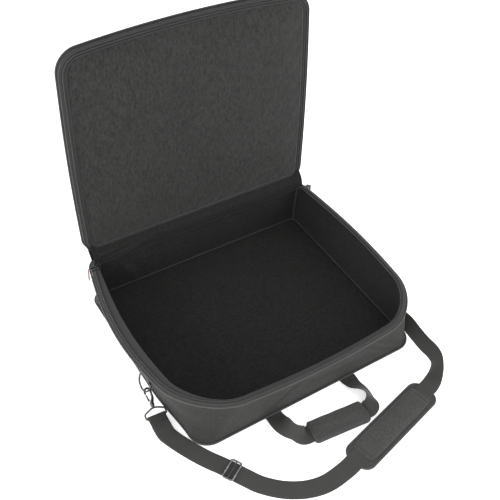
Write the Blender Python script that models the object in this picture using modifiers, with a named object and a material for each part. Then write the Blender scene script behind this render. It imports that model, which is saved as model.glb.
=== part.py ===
"""Soft zip-around carry case for tabletop games: padded tray, fold-back lid, strap and handles.

Frame: metres, +Z up, origin on the ground under the middle of the tray. +X runs along the
hinge to the user's right, -Y is the front that the zip opens towards, +Y the hinged back.
"""

import math

import bmesh
import bpy
from mathutils import Matrix, Vector

# Driving dimensions
WIDTH = 0.560
DEPTH = 0.466
RIM_Z = 0.128
FLOOR_TOP = 0.0112
FRONT_RADIUS_LOW = 0.036
FRONT_RADIUS_RIM = 0.102
BACK_RADIUS = 0.024
BULGE_LEFT = 0.038
BULGE_RIGHT = 0.016
BULGE_FRONT = 0.020
LEFT_TAPER = 0.012

SKIN = 0.0014
FOAM = 0.0060
LINING = 0.0012
GAP = 0.0003
WALL = SKIN + GAP + FOAM + GAP + LINING

HINGE_Y = DEPTH / 2 + 0.002
HINGE_Z = 0.1345
LID_OPEN_DEG = 96.6
LID_WIDTH = 0.560
LID_LENGTH = 0.466
LID_RADIUS = 0.040
LID_CROWN = 0.015
LID_SIDE_CROWN = 0.005
LID_FOAM = 0.0120

WEBBING = 0.038
WEB_THICK = 0.0016
WIRE = 0.0020

CORNER_STEPS = 6
SIDE_STEPS = 8


def clear_scene():
    """Remove the objects that the file opens with."""
    for obj in list(bpy.data.objects):
        bpy.data.objects.remove(obj, do_unlink=True)


def make_collection(name):
    """A new collection under the scene's own."""
    collection = bpy.data.collections.new(name)
    bpy.context.scene.collection.children.link(collection)
    return collection


def material(name, colour, roughness, metallic=0.0):
    """A plain Principled material."""
    made = bpy.data.materials.new(name)
    made.use_nodes = True
    shader = made.node_tree.nodes["Principled BSDF"]
    shader.inputs["Base Color"].default_value = (*colour, 1.0)
    shader.inputs["Roughness"].default_value = roughness
    shader.inputs["Metallic"].default_value = metallic
    return made


clear_scene()
CASE = make_collection("carry_case")

OXFORD = material("oxford_cloth", (0.052, 0.052, 0.050), 0.85)
LINER = material("lining_cloth", (0.014, 0.014, 0.014), 0.92)
BRUSHED = material("brushed_lid_lining", (0.042, 0.042, 0.040), 0.95)
FOAM_GREY = material("foam", (0.10, 0.10, 0.10), 0.95)
WEB = material("webbing", (0.040, 0.040, 0.038), 0.80)
TRIM = material("binding_tape", (0.030, 0.030, 0.030), 0.75)
COIL = material("nylon_coil", (0.015, 0.015, 0.015), 0.45)
GUNMETAL = material("gunmetal", (0.060, 0.062, 0.065), 0.32, 0.9)
PULL = material("rubber_pull", (0.150, 0.060, 0.055), 0.60)


def add(name, data, mat, parent=None):
    """Link a new object with its material and, optionally, its parent empty."""
    obj = bpy.data.objects.new(name, data)
    obj.data.materials.append(mat)
    obj.parent = parent
    CASE.objects.link(obj)
    return obj


def pivot(name, location, matrix=None, parent=None):
    """An empty on a joint's axis; its children are modelled round its origin."""
    empty = bpy.data.objects.new(name, None)
    empty.empty_display_size = 0.02
    empty.parent = parent
    turn = matrix.to_4x4() if matrix else Matrix.Identity(4)
    empty.matrix_local = Matrix.Translation(location) @ turn
    CASE.objects.link(empty)
    return empty


def smooth(mesh):
    """Round pieces shade smooth, with the sharp edges kept."""
    mesh.shade_smooth()
    mesh.set_sharp_from_angle(angle=math.radians(40))


def solidify(obj, thickness, offset):
    """Give an open surface its thickness; the offset says which side grows."""
    modifier = obj.modifiers.new("thickness", "SOLIDIFY")
    modifier.thickness = thickness
    modifier.offset = offset
    modifier.use_even_offset = True
    return obj


def loft(name, rows, mat, thickness, offset, closed=True, parent=None):
    """A surface through rows of points, made solid."""
    mesh = bpy.data.meshes.new(name)
    shape = bmesh.new()
    grid = [[shape.verts.new(point) for point in row] for row in rows]
    count = len(rows[0])
    for low, high in zip(grid, grid[1:]):
        for i in range(count if closed else count - 1):
            j = (i + 1) % count
            shape.faces.new((low[i], low[j], high[j], high[i]))
    shape.to_mesh(mesh)
    shape.free()
    smooth(mesh)
    return solidify(add(name, mesh, mat, parent), thickness, offset)


def plate(name, outlines, z_low, z_high, mat, parent=None):
    """A flat piece from closed 2D outlines; a second outline is a hole."""
    curve = bpy.data.curves.new(name, "CURVE")
    curve.dimensions = "2D"
    curve.fill_mode = "BOTH"
    curve.extrude = (z_high - z_low) / 2
    for outline in outlines:
        spline = curve.splines.new("POLY")
        spline.points.add(len(outline) - 1)
        for point, (x, y) in zip(spline.points, outline):
            point.co = (x, y, 0.0, 1.0)
        spline.use_cyclic_u = True
    obj = add(name, curve, mat, parent)
    obj.location.z = (z_low + z_high) / 2
    return obj


def tube(name, points, radius, mat, cyclic=False, parent=None):
    """A round bar along points."""
    curve = bpy.data.curves.new(name, "CURVE")
    curve.dimensions = "3D"
    curve.bevel_depth = radius
    curve.bevel_resolution = 2
    curve.use_fill_caps = not cyclic
    spline = curve.splines.new("POLY")
    spline.points.add(len(points) - 1)
    for spot, point in zip(spline.points, points):
        spot.co = (*point, 1.0)
    spline.use_cyclic_u = cyclic
    return add(name, curve, mat, parent)


def block(name, size, centre, mat, bevel, parent=None):
    """A box with rounded edges."""
    mesh = bpy.data.meshes.new(name)
    shape = bmesh.new()
    bmesh.ops.create_cube(shape, size=1.0)
    bmesh.ops.scale(shape, vec=Vector(size), verts=shape.verts)
    bmesh.ops.translate(shape, vec=Vector(centre), verts=shape.verts)
    shape.to_mesh(mesh)
    shape.free()
    obj = add(name, mesh, mat, parent)
    rounding = obj.modifiers.new("rounding", "BEVEL")
    rounding.width = bevel
    rounding.segments = 2
    return obj


def barrel(name, radius, length, mat, parent=None):
    """A cylinder along local X, centred on the parent's origin."""
    mesh = bpy.data.meshes.new(name)
    shape = bmesh.new()
    bmesh.ops.create_cone(
        shape, cap_ends=True, segments=20, radius1=radius, radius2=radius, depth=length
    )
    bmesh.ops.rotate(shape, matrix=Matrix.Rotation(math.pi / 2, 3, "Y"), verts=shape.verts)
    shape.to_mesh(mesh)
    shape.free()
    smooth(mesh)
    return add(name, mesh, mat, parent)


def arc(centre, radius, start, end, steps):
    """Points on an arc, angles in degrees."""
    angles = [math.radians(start + (end - start) * k / steps) for k in range(steps + 1)]
    return [(centre[0] + radius * math.cos(a), centre[1] + radius * math.sin(a)) for a in angles]


def rounded(x_low, x_high, y_low, y_high, front_radius, back_radius):
    """Counter-clockwise rounded rectangle from the back left corner, sides subdivided."""
    corners = [
        arc((x_low + back_radius, y_high - back_radius), back_radius, 90, 180, CORNER_STEPS),
        arc((x_low + front_radius, y_low + front_radius), front_radius, 180, 270, CORNER_STEPS),
        arc((x_high - front_radius, y_low + front_radius), front_radius, 270, 360, CORNER_STEPS),
        arc((x_high - back_radius, y_high - back_radius), back_radius, 0, 90, CORNER_STEPS),
    ]
    points = []
    for k, corner in enumerate(corners):
        points += corner
        (ax, ay), (bx, by) = corner[-1], corners[(k + 1) % 4][0]
        for step in range(1, SIDE_STEPS):
            f = step / SIDE_STEPS
            points.append((ax + (bx - ax) * f, ay + (by - ay) * f))
    return points


def offset_outline(points, distance):
    """Move each point inwards along the outline's own normal."""
    moved = []
    for k, (x, y) in enumerate(points):
        before = points[k - 1]
        after = points[(k + 1) % len(points)]
        along = Vector((after[0] - before[0], after[1] - before[1])).normalized()
        amount = distance(x, y) if callable(distance) else distance
        moved.append((x - along.y * amount, y + along.x * amount))
    return moved


def left_taper(x, y, height):
    """How far the left side's foot is drawn in towards the front corner."""
    forward = min(max((-y - 0.06) / 0.14, 0.0), 1.0)
    leftness = min(max((-x - 0.10) / 0.10, 0.0), 1.0)
    low = max(1.0 - height, 0.0)
    return LEFT_TAPER * low * leftness * forward * forward * (3.0 - 2.0 * forward)


def tray_outline(height, inset=0.0):
    """The tray's plan at a height from 0 (floor) to 1 (rim); walls swell towards the rim."""
    swell = height**1.2
    front_radius = FRONT_RADIUS_LOW + (FRONT_RADIUS_RIM - FRONT_RADIUS_LOW) * height
    points = []
    for x, y in rounded(
        -WIDTH / 2, WIDTH / 2, -DEPTH / 2, DEPTH / 2, front_radius, BACK_RADIUS
    ):
        forward = min(max(0.5 - y / DEPTH, 0.0), 1.0)
        across = x / (WIDTH / 2)
        side = BULGE_LEFT if x < 0 else BULGE_RIGHT
        x += across * side * swell * math.sin(math.pi * forward) + left_taper(x, y, height)
        y -= BULGE_FRONT * swell * forward**2 * max(1.0 - across**2, 0.0)
        points.append((x, y))
    return offset_outline(points, inset)


def ring_row(height, inset, z=None):
    """The tray's plan as 3D points."""
    level = RIM_Z * height if z is None else z
    return [(x, y, level) for x, y in tray_outline(height, inset)]


# The tray
WALL_LOW = 0.0033
WALL_TOP = 0.1176
LEVELS = [WALL_LOW + (WALL_TOP - WALL_LOW) * k / 4 for k in range(5)]


def wall_rows(inset, first=None, last=None, high=WALL_TOP):
    """Rows of one wall layer, optionally only the points from first to last."""
    rows = []
    for level in LEVELS:
        z = min(level, high)
        row = ring_row(z / RIM_Z, inset, z)
        rows.append(row if first is None else row[first:last])
    return rows


def wall_x(sign, z, y):
    """The outer face of a side wall at a height and a place along it."""
    bulge = BULGE_LEFT if sign < 0 else BULGE_RIGHT
    swell = (z / RIM_Z) ** 1.2 * math.sin(math.pi * (0.5 - y / DEPTH))
    return sign * (WIDTH / 2 + bulge * swell)


def build_tray():
    """Floor, walls, linings, foam boards, seams and the zip round the rim."""
    low = tray_outline(0.0)
    plate("base_bottom_panel", [low], 0.0, 0.0030, OXFORD)
    inner = tray_outline(0.0, WALL + 0.0026)
    plate("base_floor_foam", [inner], 0.0033, 0.0097, FOAM_GREY)
    plate("base_floor_lining", [inner], 0.0100, FLOOR_TOP, LINER)
    loft("base_wall_outer", wall_rows(0.0), OXFORD, SKIN, -1.0)
    loft("base_wall_lining", wall_rows(WALL - LINING), LINER, LINING, -1.0)
    span = CORNER_STEPS + SIDE_STEPS
    for k, side in enumerate(("left", "front", "right", "back")):
        start = k * span + CORNER_STEPS
        rows = wall_rows(SKIN + GAP, start, start + SIDE_STEPS + 1, high=WALL_TOP - 0.0024)
        loft(f"base_foam_{side}", rows, FOAM_GREY, FOAM - 0.0006, -1.0, closed=False)
    seam = [(x, y, 0.0048) for x, y in tray_outline(0.05, -0.0026)]
    tube("base_bottom_piping", seam, 0.0020, TRIM, cyclic=True)
    welt = [(x, y, FLOOR_TOP + 0.0023) for x, y in tray_outline(0.08, WALL + 0.0034)]
    tube("base_floor_welt", welt, 0.0020, TRIM, cyclic=True)


def zip_lip(x, y):
    """How far the zip tape turns in over the tray: widest along the left side."""
    leftness = min(max((-x - 0.18) / 0.10, 0.0), 1.0)
    middle = math.sin(math.pi * min(max(0.5 - y / DEPTH, 0.0), 1.0))
    return 0.0118 + 0.0100 * leftness * max(middle, 0.0)


def build_rim():
    """Binding over the wall's edge, the zip tape and the coil, open along the hinge."""
    rim = tray_outline(1.0)
    plate("base_rim_binding", [offset_outline(rim, -0.0008), offset_outline(rim, WALL + 0.0008)],
          0.1183, 0.1210, TRIM)
    plate("base_zip_tape", [offset_outline(rim, 0.0002), offset_outline(rim, zip_lip)],
          0.1213, 0.1225, TRIM)
    span = CORNER_STEPS + SIDE_STEPS
    first = 3
    last = 4 * span - SIDE_STEPS - 2
    coil = [(x, y, 0.1252) for x, y in offset_outline(rim, 0.0062)[first:last]]
    tube("base_zip_coil", coil, 0.0022, COIL)
    cord = [(x, y, 0.1190) for x, y in offset_outline(rim, -0.0032)]
    tube("base_rim_piping", cord, 0.0020, TRIM, cyclic=True)
    for side, x in (("left", -WIDTH / 2 + 0.0162), ("right", WIDTH / 2 - 0.0162)):
        y = DEPTH / 2 - 0.0162
        tube(f"base_corner_bind_{side}", [(x, y, FLOOR_TOP + 0.006), (x, y, 0.1160)], 0.0020, TRIM)


def build_hinge_gusset():
    """The cloth strip that the lid folds on, a shallow arch behind the hinge line."""
    rows = []
    for y, z in ((0.2275, 0.1234), (0.2305, 0.1248), (0.2325, 0.1268), (0.2328, 0.1292)):
        rows.append([(-0.245 + 0.049 * k, y, z) for k in range(11)])
    loft("hinge_gusset", rows, OXFORD, 0.0009, 0.0, closed=False)


# The lid, modelled shut about its hinge and turned back to its rest angle
LID = pivot(
    "lid_pivot",
    (0.0, HINGE_Y, HINGE_Z),
    Matrix.Rotation(math.radians(-LID_OPEN_DEG), 3, "X"),
)


def lid_outline(inset=0.0):
    """The lid's plan about the hinge, from just in front of it to the free edge."""
    points = []
    for x, y in rounded(
        -LID_WIDTH / 2, LID_WIDTH / 2, -LID_LENGTH, -0.003, LID_RADIUS, LID_RADIUS * 0.8
    ):
        forward = min(max(-y / LID_LENGTH, 0.0), 1.0)
        across = x / (LID_WIDTH / 2)
        x += across * LID_SIDE_CROWN * math.sin(math.pi * forward)
        y -= LID_CROWN * forward * max(1.0 - across**2, 0.0)
        points.append((x, y))
    return offset_outline(points, inset)


def build_lid():
    """Lid panels, foam, edge band, piping, tape and coil."""
    plate("lid_lining", [lid_outline(0.0130)], 0.0010, 0.0022, BRUSHED, LID)
    plate("lid_foam", [lid_outline(0.0022)], 0.0025, 0.0025 + LID_FOAM, FOAM_GREY, LID)
    top = 0.0028 + LID_FOAM
    plate("lid_outer_panel", [lid_outline(0.0008)], top, top + 0.0014, OXFORD, LID)
    band = [[(x, y, z) for x, y in lid_outline(0.0)] for z in (0.0025, top - 0.0003)]
    loft("lid_edge_band", band, OXFORD, 0.0014, -1.0, parent=LID)
    tape = [lid_outline(0.0), lid_outline(0.0126)]
    plate("lid_zip_tape", tape, 0.0010, 0.0022, TRIM, LID)
    first = CORNER_STEPS + 1
    last = 3 * (CORNER_STEPS + SIDE_STEPS)
    coil = [(x, y, -0.0015) for x, y in lid_outline(0.0048)[first:last]]
    tube("lid_zip_coil", coil, 0.0022, COIL, parent=LID)
    cord = [(x, y, top) for x, y in lid_outline(-0.0024)]
    tube("lid_piping", cord, 0.0020, TRIM, cyclic=True, parent=LID)
    welt = [(x, y, -0.0006) for x, y in lid_outline(0.0102)]
    tube("lid_lining_welt", welt, 0.0013, TRIM, cyclic=True, parent=LID)
    return top + 0.0014


def build_lid_handle(face):
    """A second carrying loop on the lid's outer face, lying flat along it."""
    stitched = -LID_LENGTH + 0.030
    reach = -LID_LENGTH + 0.135
    low = face + GAP
    for side, x in (("left", -0.095), ("right", 0.095)):
        size = (WEBBING, 0.034, WEB_THICK)
        centre = (x, stitched - 0.006, low + WEB_THICK / 2)
        block(f"lid_handle_tab_{side}", size, centre, WEB, 0.0004, LID)
    turn = pivot("lid_handle_pivot", (0.0, stitched + 0.014, low + WEB_THICK / 2), parent=LID)
    half = WEB_THICK / 2
    run = reach - stitched - 0.014
    outer = arc((-0.114 + 0.045, run - 0.045), 0.045, 180, 90, 6)
    outer += [(-x, y) for x, y in reversed(outer)]
    inner = arc((-0.076 + 0.007, run - 0.045), 0.007, 180, 90, 6)
    inner += [(-x, y) for x, y in reversed(inner)]
    outline = [(-0.114, 0.0005), *outer, (0.114, 0.0005)]
    outline += [(0.076, 0.0005), *reversed(inner), (-0.076, 0.0005)]
    return plate("lid_handle_webbing", [outline], -half, half, WEB, turn)


# Zip sliders, parked at the hinge ends of the coil
def build_slider(side):
    """One slider over the coil and its pull tab, hanging outside the tray."""
    sign = -1 if side == "left" else 1
    y = 0.2020
    rim = abs(wall_x(sign, RIM_Z, y))
    seat = pivot(f"zip_slider_{side}_pivot", (sign * (rim - 0.0042), y, 0.1252))
    block(f"zip_slider_{side}", (0.0190, 0.0120, 0.0024), (0.0, 0.0, 0.0038), GUNMETAL, 0.0007, seat)
    swing = pivot(f"zip_pull_{side}_pivot", (sign * 0.0118, 0.0, 0.0038), parent=seat)
    length = 0.034
    size = (0.0018, 0.0080, length)
    block(f"zip_pull_{side}", size, (sign * 0.0004, 0.0, 0.0012 - length / 2), PULL, 0.0006, swing)


# Side hardware: D-ring in a webbing tab, swivel snap hook, strap eye
D_RADIUS = 0.0205
D_BAR_Z = 0.0580
D_CENTRE_Y = -0.0640
D_DROP = 0.0090
D_LEAN = 20.0
HOOK_DROP = {"left": (-0.83, -0.50), "right": (-0.91, -0.36)}
EYE_BAR = 0.0526
STRAP_TAIL = 0.0280
LOOP_PLAY = 0.0008
STRAP_RUN = {"left": (0.06, -0.99, -0.12), "right": (0.0, -1.0, -0.03)}
EYE_TURN = {"left": 0.0, "right": 62.0}


def build_side(side):
    """Everything that clips the strap to one side of the tray."""
    sign = -1 if side == "left" else 1
    plane = wall_x(sign, D_BAR_Z, D_CENTRE_Y) + sign * (2 * GAP + WEB_THICK + WIRE)
    lean = Matrix.Rotation(math.radians(-sign * D_LEAN), 3, "Y")
    bar = Vector((plane, D_CENTRE_Y, D_BAR_Z))
    turn = pivot(f"d_ring_{side}_pivot", bar, lean)
    outline = arc((0.0, -D_DROP), D_RADIUS, 180, 360, 14)
    loop = [(0.0, y, z) for y, z in outline]
    loop += [(0.0, D_RADIUS, -0.0015), (0.0, D_RADIUS - 0.0015, 0.0)]
    loop += [(0.0, -D_RADIUS + 0.0015, 0.0), (0.0, -D_RADIUS, -0.0015)]
    tube(f"d_ring_{side}", loop, WIRE, GUNMETAL, cyclic=True, parent=turn)
    half = WEBBING / 2 - 0.0030
    rows = []
    for z in (D_BAR_Z + 0.0036, D_BAR_Z + 0.0120, D_BAR_Z + 0.0210, D_BAR_Z + 0.0300):
        out = sign * (GAP + WEB_THICK / 2)
        rows.append([(wall_x(sign, z, y) + out, y, z)
                     for y in (D_CENTRE_Y - half, D_CENTRE_Y, D_CENTRE_Y + half)])
    loft(f"d_ring_tab_{side}", rows, WEB, WEB_THICK - GAP, 0.0, closed=False)

    along = Vector((sign * 0.06, *HOOK_DROP[side])).normalized()
    across = Vector((1.0, 0.08, 0.0))
    across = (across - along * across.dot(along)).normalized()
    up = along.cross(across)
    up = up if up.z > 0 else -up
    across = up.cross(along).normalized()
    frame = Matrix((along, across, up)).transposed()
    radial = Vector((0.0, along.y, along.z)).normalized()
    grip = bar + lean @ (Vector((0.0, 0.0, -D_DROP)) + radial * D_RADIUS)
    hook = pivot(f"hook_{side}_pivot", grip, frame)
    nose = arc((0.0, 0.0), 0.0062, 90, 270, 8)
    bend = [(0.0205, 0.0035), (0.0170, 0.0062), *nose, (0.0040, -0.0062)]
    tube(f"hook_{side}", [(x, y, 0.0) for x, y in bend], 0.0021, GUNMETAL, parent=hook)
    gate = pivot(f"hook_gate_{side}_pivot", (0.0200, -0.0052, 0.0), parent=hook)
    tube(f"hook_gate_{side}", [(0.0, 0.0, 0.0), (-0.0128, -0.0006, 0.0)], 0.0015, GUNMETAL, parent=gate)
    lever = pivot(f"hook_barrel_{side}_pivot", (0.0263, 0.0, 0.0), parent=hook)
    barrel(f"hook_barrel_{side}", 0.0046, 0.0066, GUNMETAL, lever)
    swivel = Matrix.Rotation(math.radians(EYE_TURN[side]), 3, "X")
    eye = pivot(f"strap_eye_{side}_pivot", (0.0330, 0.0, 0.0), swivel, hook)
    half = WEBBING / 2 + 0.0030
    frame_points = [
        (0.0010, 0.0060), (0.0010, -0.0060), (0.0060, -half + 0.002), (0.0090, -half),
        (0.0165, -half), (0.0180, -half + 0.0015), (0.0180, half - 0.0015),
        (0.0165, half), (0.0090, half), (0.0060, half - 0.002),
    ]
    tube(f"strap_eye_{side}", [(x + 0.0016, y, 0.0) for x, y in frame_points], 0.0019,
         GUNMETAL, cyclic=True, parent=eye)
    build_strap_end(side, hook_frame(grip, frame, swivel, EYE_BAR))


def hook_frame(grip, frame, swivel, reach):
    """World place of the strap eye's outer bar and the direction the bar runs in."""
    return grip + frame @ Vector((reach, 0.0, 0.0)), frame @ swivel @ Vector((0.0, 1.0, 0.0))


def build_strap_end(side, bar):
    """The webbing's end, folded round the eye's bar and stitched back onto itself."""
    centre, across = bar
    run = Vector(STRAP_RUN[side])
    run = (run - across * run.dot(across)).normalized()
    normal = across.cross(run).normalized()
    seat = pivot(f"strap_end_{side}_pivot", centre, Matrix((run, normal, across)).transposed())
    inside = 0.0019 + LOOP_PLAY
    outer = arc((0.0, 0.0), inside + WEB_THICK, 40, 320, 14)
    outer += [(0.0080, -WEB_THICK), (STRAP_TAIL, -WEB_THICK)]
    outer += [(STRAP_TAIL, WEB_THICK), (0.0080, WEB_THICK)]
    hole = arc((0.0, 0.0), inside, 0, 330, 11)
    half = WEBBING / 2
    plate(f"strap_end_{side}", [outer, hole], -half, half, WEB, seat)


def smooth_route(points, steps):
    """A smooth curve through the route's own points, as (place, tilt) samples."""
    rows = []
    count = len(points)
    for i in range(count - 1):
        p = [Vector(points[min(max(i + k, 0), count - 1)]) for k in (-1, 0, 1, 2)]
        for step in range(steps):
            t = step / steps
            rows.append(
                0.5 * ((2 * p[1]) + (p[2] - p[0]) * t
                       + (2 * p[0] - 5 * p[1] + 4 * p[2] - p[3]) * t**2
                       + (3 * p[1] - p[0] - 3 * p[2] + p[3]) * t**3)
            )
    rows.append(Vector(points[-1]))
    return rows


def ribbon(name, route, width, thickness, mat, steps=3, parent=None):
    """A flat strap along (x, y, z, tilt): tilt 0 lies flat, 90 stands on its edge."""
    samples = smooth_route(route, steps)
    rows = []
    for k, sample in enumerate(samples):
        before = samples[max(k - 1, 0)].to_3d()
        after = samples[min(k + 1, len(samples) - 1)].to_3d()
        along = (after - before).normalized()
        flat = along.cross(Vector((0.0, 0.0, 1.0))).normalized()
        lift = flat.cross(along).normalized()
        tilt = math.radians(sample[3])
        across = flat * math.cos(tilt) + lift * math.sin(tilt)
        place = sample.to_3d()
        rows.append([place - across * width / 2, place + across * width / 2])
    return loft(name, rows, mat, thickness, 0.0, closed=False, parent=parent)


# Route points of the shoulder strap: x, y, z and tilt, from the left eye to the right eye
STRAP_ROUTE = [
    (-0.3087, -0.1552, 0.0092, -3),
    (-0.3087, -0.1620, 0.0081, -3),
    (-0.3072, -0.1720, 0.0062, -2),
    (-0.3010, -0.1870, 0.0040, 0),
    (-0.2915, -0.2070, 0.0020, 0),
    (-0.2800, -0.2300, 0.0012, 0),
    (-0.2650, -0.2570, 0.0012, 0),
    (-0.2500, -0.2810, 0.0026, 0),
    (-0.2375, -0.3025, 0.0036, 0),
    (-0.2215, -0.3300, 0.0030, 0),
    (-0.2030, -0.3570, 0.0016, 0),
    (-0.1710, -0.3870, 0.0012, 0),
    (-0.1330, -0.4080, 0.0012, 0),
    (-0.0930, -0.4170, 0.0014, 0),
    (-0.0500, -0.4150, 0.0050, 0),
    (-0.0190, -0.4090, 0.0072, 0),
    (0.0400, -0.3940, 0.0072, 0),
    (0.1020, -0.3790, 0.0072, 0),
    (0.1640, -0.3635, 0.0072, 0),
    (0.2180, -0.3502, 0.0072, 0),
    (0.2320, -0.3465, 0.0074, 0),
    (0.2440, -0.3415, 0.0090, 12),
    (0.2560, -0.3345, 0.0122, 30),
    (0.2710, -0.3230, 0.0155, 48),
    (0.2860, -0.3060, 0.0184, 64),
    (0.2915, -0.2850, 0.0188, 66),
    (0.2905, -0.2600, 0.0188, 66),
    (0.2925, -0.2300, 0.0188, 66),
    (0.2955, -0.1980, 0.0188, 62),
    (0.2945, -0.1790, 0.0176, 58),
    (0.2950, -0.1660, 0.0162, 56),
]
PAD_AXIS = Vector((0.242, 0.060)).normalized()
PAD_CENTRE = (0.1020, -0.3795)
PAD_LENGTH = 0.250
PAD_WIDTH = 0.066


def stadium(length, width, radius):
    """A plate outline with four equal corner radii, centred on the origin."""
    a, b = length / 2, width / 2
    points = []
    for cx, cy, start in ((a, b, 0), (-a, b, 90), (-a, -b, 180), (a, -b, 270)):
        sx, sy = math.copysign(radius, cx), math.copysign(radius, cy)
        points += arc((cx - sx, cy - sy), radius, start, start + 90, 5)
    return points


def build_strap():
    """Shoulder strap webbing, its slide adjuster and the shoulder pad."""
    ribbon("strap_webbing", STRAP_ROUTE, WEBBING, WEB_THICK, WEB)
    glide = pivot("tri_glide_pivot", (-0.2375, -0.3025, 0.0036),
                  Matrix.Rotation(math.atan2(-0.864, 0.503), 3, "Z"))
    rise = 0.0030
    half_w = WEBBING / 2 + 0.0035
    half_l = 0.0125
    frame = stadium(2 * half_l, 2 * half_w, 0.004)
    tube("tri_glide_frame", [(x, y, rise) for x, y in frame], 0.0017, GUNMETAL, cyclic=True, parent=glide)
    bar = [(0.0, -half_w + 0.0021, rise), (0.0, half_w - 0.0021, rise)]
    tube("tri_glide_bar", bar, 0.0014, GUNMETAL, parent=glide)
    turn = Matrix.Rotation(math.atan2(PAD_AXIS.y, PAD_AXIS.x), 3, "Z")
    pad = pivot("shoulder_pad_pivot", (*PAD_CENTRE, 0.0), turn)
    plate("shoulder_pad_base", [stadium(PAD_LENGTH, PAD_WIDTH, 0.014)], 0.0003, 0.0060, OXFORD, pad)
    plate("shoulder_pad_top", [stadium(PAD_LENGTH - 0.028, PAD_WIDTH - 0.006, 0.010)],
          0.0085, 0.0115, OXFORD, pad)


HANDLE_ROUTE = [
    (-0.0970, -0.2475, 0.0022, 0),
    (-0.0970, -0.2610, 0.0060, -16),
    (-0.0960, -0.2800, 0.0140, -44),
    (-0.0910, -0.2990, 0.0190, -66),
    (-0.0800, -0.3110, 0.0160, -44),
    (-0.0690, -0.3140, 0.0098, -8),
    (-0.0600, -0.3147, 0.0085, 0),
    (-0.0400, -0.3165, 0.0085, 0),
    (0.0070, -0.3210, 0.0085, 0),
    (0.0500, -0.3250, 0.0085, 0),
    (0.0740, -0.3273, 0.0085, 0),
    (0.0820, -0.3265, 0.0098, -8),
    (0.0920, -0.3210, 0.0160, -44),
    (0.0985, -0.3060, 0.0190, -66),
    (0.0985, -0.2850, 0.0140, -44),
    (0.0932, -0.2620, 0.0060, -16),
    (0.0930, -0.2475, 0.0022, 0),
]
HANDLE_HINGE = (0.0, -0.2442, 0.0022)


def build_front_handle():
    """The carrying loop with its padded grip, lying on the ground before the tray."""
    for side, x in (("left", -0.0970), ("right", 0.0930)):
        block(f"handle_tab_{side}", (WEBBING, 0.0036, 0.0016), (x, -0.2416, 0.0022), WEB, 0.0004)
    swing = pivot("handle_pivot", HANDLE_HINGE)
    hinge = Vector(HANDLE_HINGE)
    route = [(*(Vector(point[:3]) - hinge), point[3]) for point in HANDLE_ROUTE]
    ribbon("handle_webbing", route, WEBBING, WEB_THICK, WEB, parent=swing)
    turn = Matrix.Rotation(math.radians(-5.6), 3, "Z")
    grip = pivot("grip_pivot", (0.0070, -0.3210 - HANDLE_HINGE[1], -HANDLE_HINGE[2]), turn, swing)
    plate("grip_pad_lower", [stadium(0.130, 0.048, 0.006)], 0.0006, 0.0072, OXFORD, grip)
    plate("grip_pad_upper", [stadium(0.130, 0.048, 0.006)], 0.0098, 0.0150, OXFORD, grip)
    plate("grip_closing_flap", [stadium(0.126, 0.022, 0.003)], 0.0153, 0.0167, TRIM, grip)


build_tray()
build_rim()
build_hinge_gusset()
build_lid_handle(build_lid())
for name in ("left", "right"):
    build_slider(name)
    build_side(name)
build_strap()
build_front_handle()
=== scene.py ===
"""A soft zip-around carry case for tabletop games, shown open on a pale studio floor.

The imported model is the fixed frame: +X runs along the hinge to the right, -Y is the front,
+Z is up, metres. Each sub-assembly is a class that works out its cloth, trim and hardware as
numpy surfaces, dresses them in procedural finishes and hangs them on the model's bodies.
"""

import logging
import math
from dataclasses import dataclass, field
from enum import Enum
from typing import Any, Callable, Sequence

import bmesh
import bpy
import numpy as np
from mathutils import Matrix, Vector


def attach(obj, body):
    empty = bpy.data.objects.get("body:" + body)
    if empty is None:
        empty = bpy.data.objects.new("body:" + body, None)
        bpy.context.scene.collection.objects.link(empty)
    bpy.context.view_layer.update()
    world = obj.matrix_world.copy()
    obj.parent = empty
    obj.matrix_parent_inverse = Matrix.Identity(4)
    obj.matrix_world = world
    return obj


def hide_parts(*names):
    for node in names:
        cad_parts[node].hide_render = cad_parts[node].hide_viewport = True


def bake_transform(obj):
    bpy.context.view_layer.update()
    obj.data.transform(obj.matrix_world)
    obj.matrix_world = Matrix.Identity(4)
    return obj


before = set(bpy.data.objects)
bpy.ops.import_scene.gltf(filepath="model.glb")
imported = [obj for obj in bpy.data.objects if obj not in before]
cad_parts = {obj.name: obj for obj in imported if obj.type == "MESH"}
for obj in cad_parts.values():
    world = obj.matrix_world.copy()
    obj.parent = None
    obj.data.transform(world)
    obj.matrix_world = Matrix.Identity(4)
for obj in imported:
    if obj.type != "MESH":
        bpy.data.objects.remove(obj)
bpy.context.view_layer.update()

LOG = logging.getLogger("carry_case")
Array = np.ndarray
Point = tuple[float, float, float]
UP = np.array([0.0, 0.0, 1.0])


class Side(Enum):
    """The two ends of the case, seen from the front."""

    LEFT = -1
    RIGHT = 1

    @property
    def tag(self) -> str:
        """The side's name as the model's nodes spell it."""
        return self.name.lower()


# ---------------------------------------------------------------- shader arithmetic


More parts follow.
